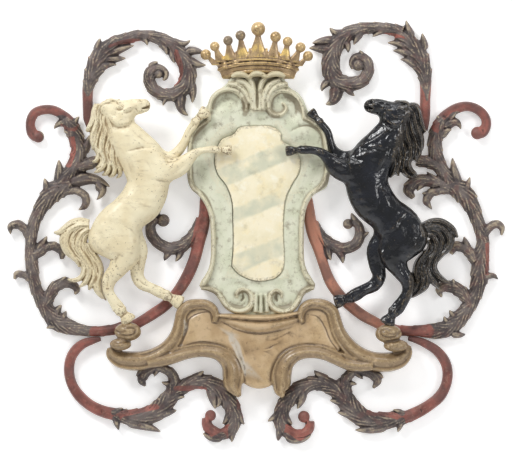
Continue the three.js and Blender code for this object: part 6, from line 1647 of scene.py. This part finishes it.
def flatten_back(obj, depth):
    """Cuts away all that lies behind one depth and closes the cut."""
    pick(obj)
    bpy.ops.object.mode_set(mode="EDIT")
    bpy.ops.mesh.select_all(action="SELECT")
    bpy.ops.mesh.bisect(plane_co=(0, -depth * MM, 0), plane_no=(0, 1, 0), use_fill=True, clear_outer=True)
    bpy.ops.mesh.select_all(action="SELECT")
    bpy.ops.mesh.quads_convert_to_tris()
    bpy.ops.object.mode_set(mode="OBJECT")


# Settings that a user would change

def length(name, description, default):
    """A length in millimetres."""
    return bpy.props.FloatProperty(name=name, description=description + ", in millimetres", default=default,
                                   min=0.0)


def amount(name, description, default):
    return bpy.props.IntProperty(name=name, description=description, default=default, min=1)


def tone(name, description, red, green, blue):
    return bpy.props.FloatVectorProperty(name=name, description=description, subtype="COLOR", size=3,
                                         min=0.0, max=1.0, default=linear(red, green, blue))


class CoatSizes(bpy.types.PropertyGroup):
    """Depths, fineness and painted sizes of the carving."""
    band_depth: length("Band depth", "How far the flat bands stand off the wall", 21.0)
    leaf_depth: length("Leaf depth", "How far the leaves stand off the wall", 25.6)
    vein_depth: length("Vein depth", "Depth of the veins in the leaves", 4.2)
    leaf_notch: bpy.props.FloatProperty(name="Leaf notch", description="Depth of the notches in the leaves' "
                                        "edges, as a share of the half width", default=0.18, min=0.0, max=0.5,
                                        subtype="FACTOR")
    field_depth: length("Field depth", "Thickness of the cartouche's board", 40.0)
    rim_depth: length("Rim depth", "How far the cartouche's rims stand off the wall", 54.0)
    moulding_depth: length("Moulding depth", "How far the base's mouldings stand off the wall", 64.0)
    shield_depth: length("Shield depth", "How far the shield's face stands off the wall", 46.0)
    shield_swell: length("Shield swell", "How far the shield's face swells from its edge", 3.2)
    shield_gap: length("Shield gap", "Width of the seam around the shield", 0.5)
    bend_widths: bpy.props.FloatVectorProperty(name="Bend widths", description="Widths of the painted bends, "
                                               "in millimetres", size=3, default=(50.0, 39.0, 48.0))
    bend_slope: bpy.props.FloatProperty(name="Bend slope", description="Rise of the bends over their run",
                                        default=0.41)
    bend_heights: bpy.props.FloatVectorProperty(name="Bend heights", description="Heights of the bends at the "
                                                "shield's middle, in millimetres", size=3,
                                                default=(90.0, -16.5, -139.0))
    muscle_share: bpy.props.FloatProperty(name="Muscle relief", description="How strongly the folds and muscles of "
                                          "the horses are cut", default=1.45)
    horse_blend: length("Horse blend", "How softly the horses' limbs run into each other", 16.0)
    strand_depth: length("Strand depth", "Depth of the strands in the hair", 5.0)
    strands: amount("Strands", "Strands in each lock of hair", 4)
    scroll_grain: length("Scroll grain", "Fineness of the scrolls", 1.9)
    cartouche_grain: length("Cartouche grain", "Fineness of the cartouche", 1.9)
    base_grain: length("Base grain", "Fineness of the base", 2.2)
    crown_grain: length("Crown grain", "Fineness of the crown", 1.4)
    horse_grain: length("Horse grain", "Fineness of the horses", 1.7)
    scroll_triangles: amount("Scroll triangles", "Most triangles in a scroll", 60000)
    cartouche_triangles: amount("Cartouche triangles", "Most triangles in the cartouche", 90000)
    base_triangles: amount("Base triangles", "Most triangles in the base", 70000)
    crown_triangles: amount("Crown triangles", "Most triangles in the crown", 50000)
    horse_triangles: amount("Horse triangles", "Most triangles in a horse", 130000)


class CoatColours(bpy.types.PropertyGroup):
    """Colours of the paints, gilding and lacquer."""
    leaf_dark: tone("Leaf, dark", "Tarnished leaf where it is darkest", 66, 57, 57)
    leaf_light: tone("Leaf, light", "Tarnished leaf where it is lightest", 108, 98, 94)
    # Also the colour of the painted highlights on the leaves' ridges.
    leaf_worn_and_highlight: tone("Leaf, worn", "Rubbed edges of the leaves and their painted highlights", 180, 165, 140)
    leaf_bole: tone("Leaf, bole", "Red-brown ground that shows through the leaf", 108, 76, 70)
    lacquer: tone("Lacquer", "Red lacquer of the bands", 166, 99, 87)
    lacquer_dark: tone("Lacquer, dark", "Red lacquer where it has darkened", 116, 66, 58)
    # Painted light: the lighter red of the inner right scroll, which the cartouche shades.
    lacquer_painted_light: tone("Lacquer, bright", "Painted light on the red lacquer behind the cartouche", 194, 136, 110)
    lacquer_worn: tone("Lacquer, worn", "Rubbed places in the lacquer", 156, 124, 106)
    wood_dark: tone("Wood dark", "Bare wood of the backs where it is darkest", 86, 66, 48)
    wood_light: tone("Wood light", "Bare wood of the backs where it is lightest", 134, 108, 82)
    # Dark colour of the scrolls' grooves and hollows: grime and painted shade.
    dirt_and_shade: tone("Dirt", "Dirt and painted shade in the hollows", 40, 31, 28)
    white: tone("White paint", "Paint of the white horse", 232, 222, 190)
    white_shade: tone("White paint, toned", "Yellowed paint of the white horse", 222, 208, 172)
    # Also grime and painted shade in the white horse's grooves and hollows.
    white_recess: tone("White recess", "Hollows of the white horse", 146, 124, 92)
    white_worn: tone("White worn", "Rubbed paint of the white horse", 106, 82, 58)
    black: tone("Black paint", "Paint of the black horse", 13, 15, 19)
    black_shade: tone("Black paint, faded", "Faded paint of the black horse", 27, 30, 38)
    # Also grime and painted shade in the black horse's grooves and hollows.
    black_recess: tone("Black recess", "Hollows of the black horse", 8, 8, 10)
    black_worn: tone("Black worn", "Rubbed edges of the black horse", 136, 120, 96)
    green: tone("Pale green", "Field of the cartouche", 216, 217, 196)
    green_shade: tone("Pale green, toned", "Darker clouds in the cartouche's field", 202, 205, 180)
    # Also grime and painted shade in the cartouche's grooves and hollows.
    green_recess: tone("Green recess", "Hollows of the cartouche", 122, 108, 84)
    rim: tone("Rim", "Rims of the cartouche", 214, 207, 180)
    field: tone("Shield field", "Ground of the shield", 240, 231, 203)
    field_shade: tone("Shield field, toned", "Yellowed ground of the shield", 230, 220, 186)
    field_pale: tone("Shield field, pale", "Rubbed ground of the shield", 244, 241, 226)
    field_yellowed: tone("Yellowed field", "Yellowed patches of the shield", 238, 222, 176)
    petals: tone("Petals", "Leaf edges below the crown", 198, 186, 152)
    bend: tone("Bend", "Bends of the shield", 200, 201, 178)
    bend_shade: tone("Bend, toned", "Bends where they are worn", 214, 210, 184)
    ochre: tone("Ochre", "Gilded base", 198, 172, 136)
    ochre_shade: tone("Ochre, toned", "Darker clouds in the base", 176, 148, 110)
    # Also grime and painted shade in the base's grooves and hollows.
    ochre_recess: tone("Ochre recess", "Hollows of the base", 88, 68, 46)
    ochre_arm: tone("Ochre arms", "Mouldings and knobs of the base", 136, 113, 81)
    ochre_loss: tone("Ochre, lost", "Grey ground where the gilding is lost", 200, 192, 178)
    # Also the painted highlights on the base's ridges.
    ochre_edge: tone("Ochre edge", "Rubbed ridges of the base and their painted highlights", 216, 192, 150)
    gold: tone("Gold", "Gilding of the crown", 190, 163, 124)
    gold_shade: tone("Gold, toned", "Darker gilding of the crown", 142, 117, 90)
    # Also grime and painted shade in the crown's grooves and hollows.
    gold_recess: tone("Gold recess", "Hollows of the crown", 56, 40, 30)
    gold_tarnish: tone("Gold, tarnished", "Balls of the crown that have darkened", 120, 108, 94)
    # Also the painted highlights on the crown's raised edges.
    gold_edge: tone("Gold edge", "Bright bits of the crown", 230, 198, 122)


def settings():
    scene = bpy.context.scene
    return scene.coat_sizes, scene.coat_colours


class CarveScrolls(bpy.types.Operator):
    """Carve the eight leafy scrolls with their red bands"""
    bl_idname = "coat.carve_scrolls"
    bl_label = "Carve scrolls"

    def execute(self, context):
        sizes, colours = settings()
        material = leaf_paint(colours)
        for node in SCROLLS:
            build_scroll(node, sizes, material)
        return {"FINISHED"}


class CarveHorses(bpy.types.Operator):
    """Carve the white and the black horse"""
    bl_idname = "coat.carve_horses"
    bl_label = "Carve horses"

    def execute(self, context):
        sizes, colours = settings()
        white = horse_paint("Old white paint", (colours.white, colours.white_shade), colours.white_recess,
                            colours.white_worn, roughness=0.4, coat=0.05, flaked=0.1, hair_worn=0.35, dents=3.5)
        black = horse_paint("Old black paint", (colours.black, colours.black_shade), colours.black_recess,
                            colours.black_worn, roughness=0.16, coat=0.3, flaked=0.04, hair_worn=0.6, dents=7.0)
        build_horse("white_horse", WHITE_HORSE, sizes, white)
        build_horse("black_horse", BLACK_HORSE, sizes, black)
        return {"FINISHED"}


class CarveCartouche(bpy.types.Operator):
    """Carve the cartouche and its painted shield"""
    bl_idname = "coat.carve_cartouche"
    bl_label = "Carve cartouche and shield"

    def execute(self, context):
        sizes, colours = settings()
        # The rim colour also paints the cartouche's rubbed edges and their painted highlights.
        paint = field_paint("Pale green paint", (colours.green, colours.green_shade), colours.green_recess,
                            colours.rim, trims=(("rim", colours.rim), ("rubbed", colours.green_recess)),
                            tops=(("petals", colours.petals),),
                            flaked=0.08, dirt_and_shade=0.75, hollows=0.6, edge_share=0.6, speckled="rim", stained=0.65)
        build_cartouche(sizes, paint.material)
        build_shield(sizes, shield_paint(sizes, colours))
        return {"FINISHED"}


class CarveBase(bpy.types.Operator):
    """Carve the moulded base with its knobs"""
    bl_idname = "coat.carve_base"
    bl_label = "Carve base"

    def execute(self, context):
        sizes, colours = settings()
        paint = field_paint("Toned ochre gilding", (colours.ochre, colours.ochre_shade), colours.ochre_recess,
                            colours.ochre_edge, roughness=0.32, edge_share=0.35, flaked=0.05, speckled="arm", stained=0.55, hollows=0.6,
                            dirt_and_shade=0.75, coat=0.3,
                            trims=(("arm", colours.ochre_arm), ("loss", colours.ochre_loss), ("grime", colours.ochre_recess)))
        build_base(sizes, paint.material)
        return {"FINISHED"}


class CarveCrown(bpy.types.Operator):
    """Carve the gilded crown with its nine balls"""
    bl_idname = "coat.carve_crown"
    bl_label = "Carve crown"

    def execute(self, context):
        sizes, colours = settings()
        paint = field_paint("Worn gilding", (colours.gold, colours.gold_shade), colours.gold_recess,
                            colours.gold_edge, roughness=0.3, metallic=0.3, grain_size=4, flaked=0.06, stained=0.6,
                            tops=(("bright", colours.gold_edge), ("tarnish", colours.gold_tarnish)))
        build_crown(sizes, paint.material)
        return {"FINISHED"}


PHOTO_WIDTH = 1.28
CAMERA_AWAY = 9.0
SENSOR = 36.0
AIM = Vector((-0.0025, 0.0, -0.0675))


class SetStage(bpy.types.Operator):
    """Put up the wall, the floor, the lights and the camera"""
    bl_idname = "coat.set_stage"
    bl_label = "Set stage"

    def execute(self, context):
        wall = stage_plane("Wall", (0, 0.004, 0), (math.pi / 2, 0, 0), 14.0)
        floor = stage_plane("Floor", (0, -2.0, -2.2), (0, 0, 0), 14.0)
        wall.data.materials.append(one_sided_paint("Studio wall", glow=0.3))
        floor.data.materials.append(one_sided_paint("Studio floor", glow=0.0))
        lamps = [area_lamp("Key", (-2.2, -2.6, 2.8), 1.6, 112.0), area_lamp("Fill", (2.8, -3.0, 0.6), 1.3, 36.0),
                 area_lamp("Top", (0.6, -1.6, 3.2), 1.6, 32.0)]
        camera_data = bpy.data.cameras.new("Camera")
        camera_data.sensor_width = SENSOR
        camera_data.lens = SENSOR * CAMERA_AWAY / PHOTO_WIDTH
        camera_data.clip_end = 100.0
        camera = bpy.data.objects.new("Camera", camera_data)
        context.scene.collection.objects.link(camera)
        camera.location = AIM + Vector((0, -CAMERA_AWAY, 0))
        camera.rotation_euler = (math.pi / 2, 0, 0)
        context.scene.camera = camera
        world = bpy.data.worlds.new("Studio")
        world.use_nodes = True
        world.node_tree.nodes["Background"].inputs["Color"].default_value = (1, 1, 1, 1)
        world.node_tree.nodes["Background"].inputs["Strength"].default_value = 0.36
        context.scene.world = world
        context.scene.view_settings.view_transform = "Standard"
        return {"FINISHED"}


def stage_plane(name, location, rotation, size):
    bpy.ops.mesh.primitive_plane_add(size=size, location=location, rotation=rotation)
    plane = bpy.context.active_object
    plane.name = name
    return plane


def one_sided_paint(name, glow):
    """White paint that is seen from its front only and may be lit a little from behind."""
    paint = Paint(name, roughness=0.9)
    paint.surface.inputs["Base Color"].default_value = (0.93, 0.93, 0.93, 1)
    paint.surface.inputs["Emission Color"].default_value = (1, 1, 1, 1)
    paint.surface.inputs["Emission Strength"].default_value = glow
    clear = paint.tree.nodes.new("ShaderNodeBsdfTransparent")
    side = paint.tree.nodes.new("ShaderNodeNewGeometry")
    mix = paint.tree.nodes.new("ShaderNodeMixShader")
    output = next(node for node in paint.tree.nodes if node.type == "OUTPUT_MATERIAL")
    paint.tree.links.new(side.outputs["Backfacing"], mix.inputs[0])
    paint.tree.links.new(paint.surface.outputs[0], mix.inputs[1])
    paint.tree.links.new(clear.outputs[0], mix.inputs[2])
    paint.tree.links.new(mix.outputs[0], output.inputs["Surface"])
    return paint.material


def area_lamp(name, location, size, power):
    data = bpy.data.lights.new(name, "AREA")
    data.shape = "DISK"
    data.size = size
    data.energy = power
    lamp = bpy.data.objects.new(name, data)
    bpy.context.scene.collection.objects.link(lamp)
    lamp.location = location
    lamp.rotation_euler = (AIM - Vector(location)).to_track_quat("-Z", "Y").to_euler()
    return lamp


class CoatPanel(bpy.types.Panel):
    """Lists the steps that build the coat of arms"""
    bl_idname = "COAT_PT_panel"
    bl_label = "Coat of arms"
    bl_space_type = "VIEW_3D"
    bl_region_type = "UI"
    bl_category = "Coat of arms"

    def draw(self, context):
        for operator in OPERATORS:
            self.layout.operator(operator.bl_idname)
        for name, group in (("Sizes", context.scene.coat_sizes), ("Colours", context.scene.coat_colours)):
            box = self.layout.box()
            box.label(text=name)
            for key in group.__annotations__:
                box.prop(group, key)


OPERATORS = (CarveScrolls, CarveHorses, CarveCartouche, CarveBase, CarveCrown, SetStage)
CLASSES = (CoatSizes, CoatColours, *OPERATORS, CoatPanel)


def register():
    for cls in CLASSES:
        bpy.utils.register_class(cls)
    bpy.types.Scene.coat_sizes = bpy.props.PointerProperty(type=CoatSizes)
    bpy.types.Scene.coat_colours = bpy.props.PointerProperty(type=CoatColours)


def unregister():
    del bpy.types.Scene.coat_colours
    del bpy.types.Scene.coat_sizes
    for cls in reversed(CLASSES):
        bpy.utils.unregister_class(cls)


def main():
    register()
    bpy.ops.coat.carve_scrolls()
    bpy.ops.coat.carve_horses()
    bpy.ops.coat.carve_cartouche()
    bpy.ops.coat.carve_base()
    bpy.ops.coat.carve_crown()
    bpy.ops.coat.set_stage()


if __name__ == "__main__":
    main()
